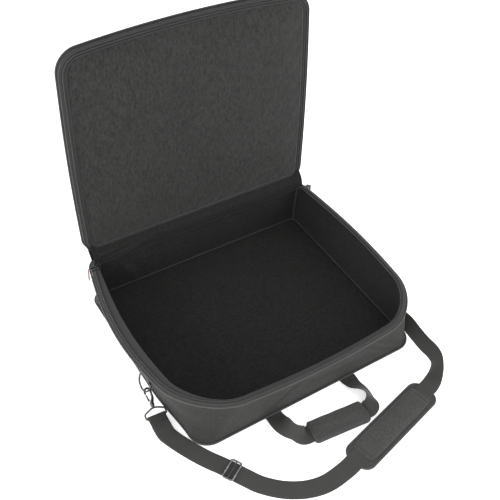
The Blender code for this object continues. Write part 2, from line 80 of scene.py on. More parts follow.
class Sock:
    """A shader value that joins in Python arithmetic; each operation adds a Math node."""

    def __init__(self, tree: bpy.types.NodeTree, out: bpy.types.NodeSocket) -> None:
        """Wrap an output socket of a node tree."""
        self.tree = tree
        self.out = out

    def math(self, operation: str, *others: Any) -> "Sock":
        """Apply a Math operation to this value and the others."""
        node = self.tree.nodes.new("ShaderNodeMath")
        node.operation = operation
        for socket, value in zip(node.inputs, (self, *others)):
            feed(self.tree, socket, value)
        return Sock(self.tree, node.outputs[0])

    def _flip(self, operation: str, other: float) -> "Sock":
        """Apply a Math operation with the plain number first."""
        node = self.tree.nodes.new("ShaderNodeMath")
        node.operation = operation
        feed(self.tree, node.inputs[0], other)
        feed(self.tree, node.inputs[1], self)
        return Sock(self.tree, node.outputs[0])

    def __add__(self, other: Any) -> "Sock":
        """Sum."""
        return self.math("ADD", other)

    def __radd__(self, other: float) -> "Sock":
        """Sum with the number first."""
        return self._flip("ADD", other)

    def __sub__(self, other: Any) -> "Sock":
        """Difference."""
        return self.math("SUBTRACT", other)

    def __rsub__(self, other: float) -> "Sock":
        """Difference with the number first."""
        return self._flip("SUBTRACT", other)

    def __mul__(self, other: Any) -> "Sock":
        """Product."""
        return self.math("MULTIPLY", other)

    def __rmul__(self, other: float) -> "Sock":
        """Product with the number first."""
        return self._flip("MULTIPLY", other)


def feed(tree: bpy.types.NodeTree, socket: bpy.types.NodeSocket, value: Any) -> None:
    """Set a socket to a number or colour, or link it to another value."""
    if isinstance(value, Sock):
        tree.links.new(value.out, socket)
    else:
        socket.default_value = value


class Shader:
    """Builds one Principled material node by node."""

    def __init__(self, name: str) -> None:
        """Start an empty material with its Principled shader."""
        self.material = bpy.data.materials.new(name)
        self.material.use_nodes = True
        self.tree = self.material.node_tree
        self.surface = self.tree.nodes["Principled BSDF"]

    def node(self, kind: str, settings: dict[str, Any], sockets: dict[Any, Any], out: Any = 0) -> Sock:
        """Add any node.

        Args:
            kind: the node's type.
            settings: its plain settings, set first.
            sockets: values or links for its inputs, by name or number.
            out: the output wanted.

        Returns:
            The output as a value.
        """
        made = self.tree.nodes.new(kind)
        for key, value in settings.items():
            setattr(made, key, value)
        for key, value in sockets.items():
            feed(self.tree, made.inputs[key], value)
        return Sock(self.tree, made.outputs[out])

    def coords(self, which: str) -> Sock:
        """The Object coordinates or the piece's own UV map."""
        return self.node("ShaderNodeTexCoord", {}, {}, which)

    def noise(self, where: Sock, scale: float, detail: float = 2.0) -> Sock:
        """Cloudy noise round 0.5 at a scale per metre."""
        sockets = {"Vector": where, "Scale": scale, "Detail": detail, "Roughness": 0.55}
        return self.node("ShaderNodeTexNoise", {}, sockets, "Fac")

    def tint(self, amount: Sock, dark: Sequence[float], light: Sequence[float]) -> Sock:
        """A colour between two, by a value from 0 to 1."""
        sockets = {0: amount, 6: (*dark, 1.0), 7: (*light, 1.0)}
        return self.node("ShaderNodeMix", {"data_type": "RGBA", "clamp_factor": True}, sockets, 2)

    def relief(self, height: Sock, depth: float) -> None:
        """Raise the surface by a height field of a depth in metres."""
        sockets = {"Height": height, "Distance": depth, "Strength": 1.0}
        bump = self.node("ShaderNodeBump", {}, sockets)
        feed(self.tree, self.surface.inputs["Normal"], bump)

    def put(self, **values: Any) -> None:
        """Set the shader's own sockets by name, with _ for a space."""
        for key, value in values.items():
            feed(self.tree, self.surface.inputs[key.replace("_", " ")], value)


# ---------------------------------------------------------------- finishes


def shades(colour: Sequence[float], low: float, high: float) -> tuple[Sequence[float], Sequence[float]]:
    """A colour's dark and light ends: the colour times low, and times high up to white."""
    return tuple(c * low for c in colour), tuple(min(c * high, 1.0) for c in colour)


@dataclass(frozen=True)
class Cloth:
    """A woven cloth on UVs in metres: plain weave relief, yarn speckle and broad mottling."""

    name: str
    colour: tuple[float, float, float]
    slot: str
    pitch: float = 0.00085
    depth: float = 0.00010
    speckle: float = 0.30
    cloud: float = 0.16
    rough: float = 0.86
    sheen: float = 0.25
    nap: float = 1.0

    def material(self) -> bpy.types.Material:
        """Weave height = sin(u) sin(v) over the yarn pitch, plus fine fibre noise."""
        s = Shader(self.name)
        uv = s.node("ShaderNodeSeparateXYZ", {}, {0: s.coords("UV")}, 0)
        v = Sock(uv.tree, uv.out.node.outputs[1])
        turn = 2 * math.pi / self.pitch
        weave = (uv * turn).math("SINE") * (v * turn).math("SINE")
        here = s.coords("Object")
        drawn = s.node("ShaderNodeMapping", {}, {"Vector": here, "Scale": (1.0, 1.0, self.nap)}, 0)
        fibre = s.noise(here, 1400.0, 3.0)
        yarn = s.noise(drawn, 420.0, 2.0)
        nub = s.noise(drawn, 210.0, 3.0)
        broad = s.noise(here, 11.0, 3.0)
        patch = s.noise(here, 46.0, 3.0)
        shade = 0.5 + (fibre - 0.5) * self.speckle * 1.6 + (yarn - 0.5) * self.speckle * 2.2
        shade = shade + (nub - 0.5) * self.speckle * 3.2
        shade = shade + (broad - 0.5) * self.cloud * 2.0 + (patch - 0.5) * self.cloud
        s.put(Base_Color=s.tint(shade + weave * 0.10, *shades(self.colour, 0.55, 1.45)))
        s.put(Roughness=self.rough + (broad - 0.5) * 0.12)
        s.put(Sheen_Weight=self.sheen, Sheen_Roughness=0.45, Specular_IOR_Level=0.14)
        s.relief(weave * 0.5 + fibre * 0.7 + yarn * 0.5 + nub * 1.2, self.depth)
        return s.material


@dataclass(frozen=True)
class Webbing:
    """Flat woven strap: ribs across, yarn columns along, denser selvedges. UVs in metres."""

    name: str
    colour: tuple[float, float, float]
    slot: str = "webbing"
    rib: float = 0.0016
    column: float = 0.0031

    def material(self) -> bpy.types.Material:
        """Height = ribs whose phase steps from column to column, which reads as a twill."""
        s = Shader(self.name)
        u = s.node("ShaderNodeSeparateXYZ", {}, {0: s.coords("UV")}, 0)
        v = Sock(u.tree, u.out.node.outputs[1])
        wave = (u * (2 * math.pi / self.column)).math("SINE")
        ribs = (v * (2 * math.pi / self.rib) + wave * 1.9).math("SINE")
        here = s.coords("Object")
        fibre = s.noise(here, 1100.0, 3.0)
        worn = s.noise(here, 30.0, 4.0)
        shade = 0.5 + ribs * 0.16 + wave * 0.05 + (fibre - 0.5) * 0.55 + (worn - 0.5) * 0.35
        s.put(Base_Color=s.tint(shade, *shades(self.colour, 0.5, 1.5)))
        s.put(Roughness=0.72 + (fibre - 0.5) * 0.2)
        s.put(Sheen_Weight=0.18, Sheen_Roughness=0.4, Specular_IOR_Level=0.3)
        s.relief(ribs * 0.5 + wave * 0.22 + fibre * 0.35, 0.00022)
        return s.material


@dataclass(frozen=True)
class Tape:
    """Ribbed grosgrain binding: ribs across u in metres, so lengthwise on a swept cord."""

    name: str
    colour: tuple[float, float, float]
    slot: str = "binding_tape"

    def material(self) -> bpy.types.Material:
        """Height = a fine sine over u plus fibre noise."""
        s = Shader(self.name)
        u = s.node("ShaderNodeSeparateXYZ", {}, {0: s.coords("UV")}, 0)
        ribs = (u * (2 * math.pi / 0.0009)).math("SINE")
        here = s.coords("Object")
        fibre = s.noise(here, 900.0, 3.0)
        worn = s.noise(here, 24.0, 3.0)
        shade = 0.5 + ribs * 0.15 + (fibre - 0.5) * 0.45 + (worn - 0.5) * 0.4
        s.put(Base_Color=s.tint(shade, *shades(self.colour, 0.5, 1.5)))
        s.put(Roughness=0.70 + (worn - 0.5) * 0.2)
        s.put(Sheen_Weight=0.15, Specular_IOR_Level=0.3)
        s.relief(ribs * 0.5 + fibre * 0.5, 0.00012)
        return s.material


@dataclass(frozen=True)
class Metal:
    """Dark plated zinc with faint casting grain and rubbed highs."""

    name: str
    colour: tuple[float, float, float]
    slot: str = "gunmetal"
    rough: float = 0.28

    def material(self) -> bpy.types.Material:
        """Grain in the roughness, and broad noise that thins the plating's colour."""
        s = Shader(self.name)
        here = s.coords("Object")
        grain = s.noise(here, 900.0, 4.0)
        worn = s.noise(here, 130.0, 4.0)
        rub = (worn - 0.52) * 5.0
        s.put(Base_Color=s.tint(rub, *shades(self.colour, 1.0, 2.6)), Metallic=0.95)
        s.put(Roughness=self.rough + (grain - 0.5) * 0.22)
        s.relief(grain, 0.00003)
        return s.material


@dataclass(frozen=True)
class Moulded:
    """Moulded nylon or rubber: satin, with a fine orange-peel surface."""

    name: str
    colour: tuple[float, float, float]
    slot: str
    rough: float = 0.45

    def material(self) -> bpy.types.Material:
        """Small noise in the colour, the gloss and the surface."""
        s = Shader(self.name)
        here = s.coords("Object")
        peel = s.noise(here, 700.0, 3.0)
        worn = s.noise(here, 60.0, 3.0)
        s.put(Base_Color=s.tint(0.5 + (worn - 0.5) * 1.2, *shades(self.colour, 0.7, 1.3)))
        s.put(Roughness=self.rough + (peel - 0.5) * 0.2)
        s.relief(peel, 0.00004)
        return s.material


OXFORD = Cloth("black_oxford", (0.0275, 0.0275, 0.0265), "oxford_cloth", sheen=0.04)
OXFORD_PAD = Cloth("pad_oxford", (0.047, 0.047, 0.046), "oxford_cloth", pitch=0.0007)
LINER = Cloth("tray_lining", (0.0122, 0.0122, 0.0118), "lining_cloth", pitch=0.0009, depth=0.00010,
              speckle=0.62, cloud=0.22, rough=0.80, sheen=0.06)
BRUSHED = Cloth("brushed_lid_lining", (0.0215, 0.0215, 0.0208), "brushed_lining", pitch=0.0011,
                depth=0.00016, speckle=0.55, cloud=0.20, rough=0.95, sheen=0.22, nap=0.35)
STRAP_WEB = Webbing("strap_webbing_weave", (0.036, 0.036, 0.034))
HANDLE_WEB = Webbing("handle_webbing_weave", (0.031, 0.031, 0.029))
BINDING = Tape("grosgrain_binding", (0.040, 0.040, 0.038))
ZIP_TAPE = Tape("zip_tape_weave", (0.032, 0.032, 0.031))
WELT = Tape("lining_welt", (0.015, 0.015, 0.0145))
# Near-black cord for the lid lining's seam: the seam is real, but its dark colour is painted shade for the
# deep shadow in the groove between lining and tape.
SEAM_SHADE = Tape("seam_groove_shade", (0.010, 0.010, 0.010))
COIL = Moulded("nylon_coil", (0.012, 0.012, 0.012), "nylon_coil", 0.38)
GUNMETAL = Metal("gunmetal_plate", (0.085, 0.087, 0.090))
# A lighter copy of the gunmetal for the tri-glide frame; its extra lightness is a painted highlight for the
# frame's bright bars.
HIGHLIGHT_GUNMETAL = Metal("gunmetal_painted_highlight", (0.19, 0.193, 0.197))
PULL_RUBBER = Moulded("zip_pull_rubber", (0.16, 0.075, 0.070), "rubber_pull", 0.55)
THREAD = Moulded("stitch_thread", (0.055, 0.055, 0.053), "webbing", 0.7)
FINISHES: dict[str, bpy.types.Material] = {}


def dressed(finish: Any) -> bpy.types.Material:
    """The finish's material, made once."""
    if finish.name not in FINISHES:
        FINISHES[finish.name] = finish.material()
    return FINISHES[finish.name]


# ---------------------------------------------------------------- surfaces


def unit(v: Array) -> Array:
    """Each vector over its own length."""
    return v / np.maximum(np.linalg.norm(v, axis=-1, keepdims=True), 1e-12)


def smooth_line(points: Sequence[Sequence[float]], steps: int, loop: bool = False) -> Array:
    """Catmull-Rom curve through points of any dimension.

    Args:
        points: the points that the curve passes through.
        steps: samples from one point to the next.
        loop: whether the curve closes on itself.

    Returns:
        The samples, one row each.
    """
    p = np.asarray(points, float)
    if loop:
        a, b, c, d = (np.roll(p, k, axis=0) for k in (1, 0, -1, -2))
    else:
        ends = np.vstack([2 * p[:1] - p[1:2], p, 2 * p[-1:] - p[-2:-1]])
        a, b, c, d = ends[:-3], ends[1:-2], ends[2:-1], ends[3:]
    t = (np.arange(steps) / steps)[None, :, None]
    a, b, c, d = (x[:, None, :] for x in (a, b, c, d))
    cubic = 0.5 * (2 * b + (c - a) * t + (2 * a - 5 * b + 4 * c - d) * t**2
                   + (3 * b - a - 3 * c + d) * t**3)
    flat = cubic.reshape(-1, p.shape[1])
    return flat if loop else np.vstack([flat, p[-1:]])


def lengths(path: Array, loop: bool = False) -> Array:
    """Distance along a path at each of its points; a loop gets one more, its whole length."""
    ends = np.vstack([path, path[:1]]) if loop else path
    return np.concatenate([[0.0], np.cumsum(np.linalg.norm(np.diff(ends, axis=0), axis=1))])


def tangents(path: Array, loop: bool = False) -> Array:
    """Unit direction of travel at each point."""
    if loop:
        return unit(np.roll(path, -1, axis=0) - np.roll(path, 1, axis=0))
    return unit(np.gradient(path, axis=0))


def even(path: Array, count: int, loop: bool = False) -> Array:
    """The same path with its points evenly spaced."""
    s = lengths(path, loop)
    ends = np.vstack([path, path[:1]]) if loop else path
    at = np.linspace(0.0, s[-1], count + 1)[:-1] if loop else np.linspace(0.0, s[-1], count)
    return np.stack([np.interp(at, s, ends[:, k]) for k in range(path.shape[1])], axis=-1)


def fall_back(x: Array, half: float, radius: float) -> Array:
    """How far a rounded corner falls back from its edge: radius less the arc's own height."""
    over = np.clip(np.abs(x) - (half - radius), 0.0, radius)
    return radius - np.sqrt(radius**2 - over**2)


def bump_line(x: Array, centre: float, width: float) -> Array:
    """A soft ridge of height 1: exp of minus the squared distance over the width."""
    return np.exp(-(((x - centre) / width) ** 2))


def ripple(a: Array, b: Array, seed: float) -> Array:
    """Smooth uneven waves of two coordinates: three sines of unlike pitch and heading."""
    return (np.sin(a * 21.0 + b * 9.0 + seed) + np.sin(a * 37.0 - b * 26.0 + 2.3 * seed) * 0.6
            + np.sin(b * 61.0 + a * 13.0 + 4.1 * seed) * 0.4) / 2.0


def sheet_mesh(name: str, grid: Array, wrap_rows: bool = False, wrap_cols: bool = False,
               caps: tuple[bool, bool] = (False, False)) -> bpy.types.Object:
    """A quad surface through a grid of points, with UVs in metres.

    Args:
        name: the piece's name.
        grid: points, rows by columns by three.
        wrap_rows: whether the last row joins the first.
        wrap_cols: whether the last column joins the first.
        caps: whether the first and the last row are closed with one face each.

    Returns:
        The new object, its faces pointing out where it is closed.
    """
    rows, cols = grid.shape[:2]
    r = np.arange(rows if wrap_rows else rows - 1)[:, None]
    c = np.arange(cols if wrap_cols else cols - 1)[None, :]
    r2, c2 = (r + 1) % rows, (c + 1) % cols
    faces = np.stack([r * cols + c, r * cols + c2, r2 * cols + c2, r2 * cols + c], -1).reshape(-1, 4)
    along = np.vstack([grid, grid[:1]]) if wrap_rows else grid
    around = np.concatenate([grid, grid[:, :1]], axis=1) if wrap_cols else grid
    mid_row, mid_col = rows // 2, cols // 2
    v_at = lengths(along[:, mid_col])
    u_at = lengths(around[mid_row])
    u0, v0 = np.broadcast_arrays(u_at[c], v_at[r])
    u1, v1 = np.broadcast_arrays(u_at[c + 1], v_at[r + 1])
    uv = np.stack([np.stack([u0, v0], -1), np.stack([u1, v0], -1),
                   np.stack([u1, v1], -1), np.stack([u0, v1], -1)], axis=2).reshape(-1, 2)
    listed = faces.tolist()
    extra: list[Array] = []
    for wanted, ring in zip(caps, (np.arange(cols)[::-1], (rows - 1) * cols + np.arange(cols))):
        if wanted:
            listed.append(ring.tolist())
            spread = grid.reshape(-1, 3)[ring]
            extra.append((spread - spread[0])[:, :2])
    mesh = bpy.data.meshes.new(name)
    mesh.from_pydata(grid.reshape(-1, 3).tolist(), [], listed)
    layer = mesh.uv_layers.new(name="UVMap")
    layer.data.foreach_set("uv", np.vstack([uv, *extra]).astype(np.float32).ravel())
    mesh.update()
    shape = bmesh.new()
    shape.from_mesh(mesh)
    bmesh.ops.recalc_face_normals(shape, faces=shape.faces)
    shape.to_mesh(mesh)
    shape.free()
    mesh.shade_smooth()
    obj = bpy.data.objects.new(name, mesh)
    bpy.context.scene.collection.objects.link(obj)
    return obj


def sweep(name: str, path: Array, profile: Array, across: Array, lift: Array,
          loop: bool = False) -> bpy.types.Object:
    """Carry a closed profile along a path.

    Args:
        name: the piece's name.
        path: centre points.
        profile: closed outline as (across, lift) pairs, or one outline for each point.
        across: unit vectors of the profile's first axis.
        lift: unit vectors of its second axis.
        loop: whether the path closes.

    Returns:
        A closed object: point = path + across * x + lift * y.
    """
    shape = profile if profile.ndim == 3 else np.broadcast_to(profile, (len(path), *profile.shape))
    grid = (path[:, None, :] + across[:, None, :] * shape[..., :1] + lift[:, None, :] * shape[..., 1:])
    return sheet_mesh(name, grid, wrap_rows=loop, wrap_cols=True, caps=(not loop, not loop))


def circle(radius: float, count: int = 14) -> Array:
    """A round profile."""
    a = np.linspace(0.0, 2 * math.pi, count, endpoint=False)
    return np.stack([np.cos(a), np.sin(a)], -1) * radius


def soft_box(half: Sequence[float], powers: Sequence[float]) -> Array:
    """A profile between an ellipse and a box: half sizes times cos and sin to powers below 1."""
    a = np.linspace(0.0, 2 * math.pi, 20, endpoint=False)
    wave = np.stack([np.cos(a), np.sin(a)], -1)
    return np.asarray(half) * np.sign(wave) * abs(wave) ** np.asarray(powers)


def flat_band(width: float, thick: float, count: int = 10) -> Array:
    """A strap's profile: a flat strip whose two edges are half rounds."""
    a = np.linspace(-math.pi / 2, math.pi / 2, 6)
    r = thick / 2
    edge = np.stack([width / 2 - r + r * np.cos(a), r * np.sin(a)], -1)
    top = np.linspace(width / 2 - r, -width / 2 + r, count)[1:-1]
    upper = np.stack([top, np.full_like(top, r)], -1)
    return np.vstack([edge, upper, -edge, -upper])


def tube(name: str, path: Array, radius: Any, facing: Sequence[float], loop: bool = False,
         sides: int = 14) -> bpy.types.Object:
    """A round bar; facing is a direction that the path never runs along."""
    t = tangents(path, loop)
    across = unit(np.cross(t, np.asarray(facing, float)))
    lift = np.cross(across, t)
    r = np.broadcast_to(np.asarray(radius, float), (len(path),))
    return sweep(name, path, circle(1.0, sides)[None] * r[:, None, None], across, lift, loop)


def turned(name: str, profile: Sequence[tuple[float, float]], origin: Array, axis: Array,
           sides: int = 28) -> bpy.types.Object:
    """A lathe shape: (distance along the axis, radius) pairs spun round the axis."""
    p = np.asarray(profile, float)
    axis = unit(np.asarray(axis, float))
    x = unit(np.cross(axis, np.array([0.31, 0.52, 0.79])))
    y = np.cross(axis, x)
    a = np.linspace(0.0, 2 * math.pi, sides, endpoint=False)
    ring = x * np.cos(a)[:, None] + y * np.sin(a)[:, None]
    grid = origin + axis * p[:, None, :1] + ring[None] * p[:, None, 1:]
    return sheet_mesh(name, grid, wrap_cols=True, caps=(True, True))


def domed(name: str, outline: Array, shrink: Sequence[float], heights: Sequence[float],
          place: Callable[[Array], Array]) -> bpy.types.Object:
    """A closed cushion-like form of rings that shrink towards its middle.

    Args:
        name: the piece's name.
        outline: the plan, as (x, y) pairs.
        shrink: how far each ring is drawn in from the outline, in metres.
        heights: each ring's height.
        place: turns local points into the model's frame.

    Returns:
        The object; the first and last rings are closed with a face.
    """
    half = (outline.max(axis=0) - outline.min(axis=0)) / 2
    middle = (outline.max(axis=0) + outline.min(axis=0)) / 2
    rings = [np.column_stack([middle + (outline - middle) * (1 - d / half), np.full(len(outline), h)])
             for d, h in zip(shrink, heights)]
    return sheet_mesh(name, place(np.stack(rings)), wrap_cols=True, caps=(True, True))


def drawn_in(outline: Array, distance: Any) -> Array:
    """Move a counter-clockwise outline inwards along its normals."""
    t = tangents(outline, loop=True)
    d = np.broadcast_to(np.asarray(distance, float), (len(outline),))[:, None]
    return outline + np.stack([-t[:, 1], t[:, 0]], -1) * d


def arc(cx: float, cy: float, radius: float, start: float, end: float, steps: int) -> Array:
    """Points on an arc, angles in degrees."""
    a = np.radians(np.linspace(start, end, steps + 1))
    return np.stack([cx + radius * np.cos(a), cy + radius * np.sin(a)], -1)


def rounded_plan(low: Sequence[float], high: Sequence[float], front: float, back: float,
                 corner: int, side: int) -> Array:
    """Counter-clockwise rounded rectangle from its back left corner, sides subdivided."""
    corners = [
        arc(low[0] + back, high[1] - back, back, 90, 180, corner),
        arc(low[0] + front, low[1] + front, front, 180, 270, corner),
        arc(high[0] - front, low[1] + front, front, 270, 360, corner),
        arc(high[0] - back, high[1] - back, back, 0, 90, corner),
    ]
    runs = []
    for k, bend in enumerate(corners):
        f = (np.arange(1, side) / side)[:, None]
        runs += [bend, bend[-1] + (corners[(k + 1) % 4][0] - bend[-1]) * f]
    return np.vstack(runs)


# ---------------------------------------------------------------- fitting pieces to the model


def fit(obj: bpy.types.Object, finish: Any, body: str, *nodes: str) -> bpy.types.Object:
    """Dress a finished piece, hide the nodes it stands for and hang it on its body."""
    obj.data.materials.clear()
    obj.data.materials.append(dressed(finish))
    if nodes:
        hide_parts(*nodes)
    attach(obj, body)
    LOG.info("%s: %s on %s", obj.name, finish.name, body)
    return obj


def solid(obj: bpy.types.Object, thickness: float, offset: float = 0.0) -> bpy.types.Object:
    """Give an open surface its thickness."""
    made = obj.modifiers.new("thickness", "SOLIDIFY")
    made.thickness = thickness
    made.offset = offset
    return obj


def settle(panel: bpy.types.Object, pinned: Array, cap: float) -> None:
    """Run the cloth solver with a little air under a surface, its seams held fast.

    Args:
        panel: the grid mesh, changed in place.
        pinned: which of its vertices are sewn down.
        cap: how far a vertex may move.
    """
    mesh = panel.data
    before = np.empty(len(mesh.vertices) * 3, np.float32)
    mesh.vertices.foreach_get("co", before)
    group = panel.vertex_groups.new(name="sewn")
    group.add(np.flatnonzero(pinned).tolist(), 1.0, "REPLACE")
    cloth = panel.modifiers.new("settle", "CLOTH")
    cloth.settings.vertex_group_mass = "sewn"
    cloth.settings.use_pressure = True
    cloth.settings.uniform_pressure_force = 4.0
    cloth.settings.effector_weights.gravity = 0.0
    cloth.settings.quality = 5
    cloth.settings.tension_stiffness = 20.0
    cloth.settings.bending_stiffness = 0.6
    cloth.point_cache.frame_start = 1
    cloth.point_cache.frame_end = 20
    for step in range(1, 21):
        bpy.context.scene.frame_set(step)
    shown = panel.evaluated_get(bpy.context.evaluated_depsgraph_get())
    after = np.empty_like(before)
    shown.to_mesh().vertices.foreach_get("co", after)
    shown.to_mesh_clear()
    panel.modifiers.remove(cloth)
    panel.vertex_groups.remove(group)
    bpy.context.scene.frame_set(1)
    move = np.nan_to_num((after - before).reshape(-1, 3))
    far = np.linalg.norm(move, axis=1, keepdims=True)
    move *= np.minimum(1.0, cap / np.maximum(far, 1e-9))
    mesh.vertices.foreach_set("co", (before.reshape(-1, 3) + move).ravel())
    mesh.update()


def stitches(name: str, path: Array, up: Array, pitch: float = 0.0034,
             radius: float = 0.00035) -> bpy.types.Object:
    """A row of thread stitches: small tapered rods laid end to end along a path.

    Args:
        name: the piece's name.
        path: the seam line, already on the cloth's surface.
        up: the cloth's outward direction at each point of the path.
        pitch: from one stitch to the next.
        radius: the thread's radius.

    Returns:
        One mesh that holds every stitch.
    """
    s = lengths(path)
    count = max(int(s[-1] / pitch), 1)
    at = (np.arange(count) + 0.5) * pitch
    where = np.stack([np.interp(at, s, path[:, k]) for k in range(3)], -1)
    lift = unit(np.stack([np.interp(at, s, up[:, k]) for k in range(3)], -1))
    ahead = np.stack([np.interp(at + 1e-4, s, path[:, k]) for k in range(3)], -1)
    along = unit(ahead - where)
    across = unit(np.cross(along, lift))
    places = np.array([-0.5, -0.36, 0.0, 0.36, 0.5]) * pitch * 0.78
    sizes = np.array([0.35, 0.9, 1.0, 0.9, 0.35]) * radius
    sinks = np.array([-1.2, -0.1, 0.25, -0.1, -1.2]) * radius
    ring = circle(1.0, 6)
    grid = (where[:, None, None, :] + along[:, None, None, :] * places[None, :, None, None]
            + lift[:, None, None, :] * sinks[None, :, None, None]
            + across[:, None, None, :] * (ring[:, 0][None, None, :] * sizes[None, :, None])[..., None]
            + lift[:, None, None, :] * (ring[:, 1][None, None, :] * sizes[None, :, None])[..., None])
    n, rows, cols = grid.shape[:3]
    base = np.arange(n)[:, None, None] * rows * cols
    r = np.arange(rows - 1)[None, :, None]
    c = np.arange(cols)[None, None, :]
    c2 = (c + 1) % cols
    quads = np.stack(np.broadcast_arrays(base + r * cols + c, base + r * cols + c2,
                                         base + (r + 1) * cols + c2, base + (r + 1) * cols + c), -1)
    last = base[:, 0] + (rows - 1) * cols
    ends = np.concatenate([base[:, 0] + np.arange(cols)[::-1], last + np.arange(cols)])
    mesh = bpy.data.meshes.new(name)
    mesh.from_pydata(grid.reshape(-1, 3).tolist(), [], quads.reshape(-1, 4).tolist() + ends.tolist())
    mesh.shade_smooth()
    obj = bpy.data.objects.new(name, mesh)
    bpy.context.scene.collection.objects.link(obj)
    shape = bmesh.new()
    shape.from_mesh(mesh)
    bmesh.ops.recalc_face_normals(shape, faces=shape.faces)
    shape.to_mesh(mesh)
    shape.free()
    return obj


def sew(name: str, path: Array, up: Array, body: str) -> bpy.types.Object:
    """Stitch a seam on a body in thread; up is one direction, or one for each point."""
    return fit(stitches(name, path, np.broadcast_to(up, path.shape)), THREAD, body)


# ---------------------------------------------------------------- camera, floor and light


@dataclass
class Studio:
    """The camera, the pale floor and the soft lights."""

    target: Point = (-0.02184, 0.0, 0.23576)
    distance: float = 1.670
    azimuth: float = -36.649
    elevation: float = 45.167
    roll: float = 5.673
    lens: float = 58.68
    floor: float = 6.0

    def camera(self) -> None:
        """Place the camera: back along the view line from the target, rolled about that line."""
        az, el, roll = (math.radians(a) for a in (self.azimuth, self.elevation, self.roll))
        back = Vector((math.sin(az) * math.cos(el), -math.cos(az) * math.cos(el), math.sin(el)))
        level = Vector((math.cos(az), math.sin(az), 0.0))
        rise = back.cross(level)
        right = level * math.cos(roll) + rise * math.sin(roll)
        up = rise * math.cos(roll) - level * math.sin(roll)
        camera = bpy.data.objects.new("camera", bpy.data.cameras.new("camera"))
        camera.data.lens = self.lens
        camera.data.sensor_width = 36.0
        where = Vector(self.target) + back * self.distance
        turn = Matrix((right, up, back)).transposed().to_4x4()
        camera.matrix_world = Matrix.Translation(where) @ turn
        bpy.context.scene.collection.objects.link(camera)
        bpy.context.scene.camera = camera

    def ground(self) -> None:
        """A plain pale floor, its middle a little finer than its edge, just under the case."""
        side = np.linspace(-1.0, 1.0, 9)
        x, y = np.meshgrid(side * abs(side) * self.floor, side * abs(side) * self.floor)
        grid = np.stack([x, y, np.full_like(x, -0.0004)], -1)
        floor = sheet_mesh("studio_floor", grid)
        shader = Shader("studio_paper")
        tone = shader.noise(shader.coords("Object"), 3.0)
        shader.put(Base_Color=shader.tint(tone, (0.93, 0.93, 0.93), (0.96, 0.96, 0.96)))
        shader.put(Roughness=0.9, Specular_IOR_Level=0.1, Emission_Color=(1.0, 1.0, 1.0, 1.0))
        shader.put(Emission_Strength=0.55)
        floor.data.materials.append(shader.material)

    def lamp(self, name: str, where: Point, size: float, power: float) -> None:
        """A square soft box that looks at the case."""
        light = bpy.data.lights.new(name, "AREA")
        light.shape = "SQUARE"
        light.size = size
        light.energy = power
        holder = bpy.data.objects.new(name, light)
        aim = (Vector(self.target) - Vector(where)).to_track_quat("-Z", "Y")
        holder.matrix_world = Matrix.Translation(where) @ aim.to_matrix().to_4x4()
        bpy.context.scene.collection.objects.link(holder)

    def build(self) -> None:
        """Make everything that isn't the case."""
        self.camera()
        self.ground()
        world = bpy.data.worlds.new("studio")
        world.use_nodes = True
        world.node_tree.nodes["Background"].inputs[0].default_value = (1.0, 1.0, 1.0, 1.0)
        world.node_tree.nodes["Background"].inputs[1].default_value = 0.85
        bpy.context.scene.world = world
        bpy.context.scene.view_settings.view_transform = "Standard"
        self.lamp("overhead_box", (0.3, -0.5, 2.4), 1.6, 15.0)
        self.lamp("left_box", (-2.3, 0.5, 0.9), 1.3, 42.0)
        self.lamp("front_box", (1.3, -2.2, 0.9), 1.2, 26.0)
        self.lamp("near_box", (-1.6, -1.7, 0.9), 1.2, 20.0)


# ---------------------------------------------------------------- straps


@dataclass
class Ribbon:
    """A flat strap led through (x, y, z, tilt) stations; tilt turns it about its own run."""

    stations: Sequence[Sequence[float]]
    width: float = 0.038
    thick: float = 0.0016
    steps: int = 7

    def frames(self) -> tuple[Array, Array, Array, Array]:
        """Centre points with their along, across and lift unit vectors.

        The flat across is the run's level normal, turned by the tilt about the run.
        """
        line = smooth_line(self.stations, self.steps)
        path, tilt = line[:, :3], np.radians(line[:, 3:4])
        along = tangents(path)
        flat = unit(np.cross(along, UP))
        lift = np.cross(flat, along)
        across = flat * np.cos(tilt) + lift * np.sin(tilt)
        return path, along, across, np.cross(across, along)

    def build(self, name: str, ease: float = 0.0) -> bpy.types.Object:
        """The strap, its middle crowned or cupped a little by ease."""
        path, _, across, lift = self.frames()
        profile = flat_band(self.width, self.thick)
        s = lengths(path)
        curl = ease * (np.sin(s * 19.0) * 0.6 + np.sin(s * 47.0 + 1.0) * 0.4)
        bow = (1 - (2 * profile[:, 0] / self.width) ** 2)[None, :] * curl[:, None]
        shape = np.stack([np.broadcast_to(profile[:, 0], bow.shape), profile[:, 1] + bow], -1)
        return sweep(name, path, shape, across, lift)


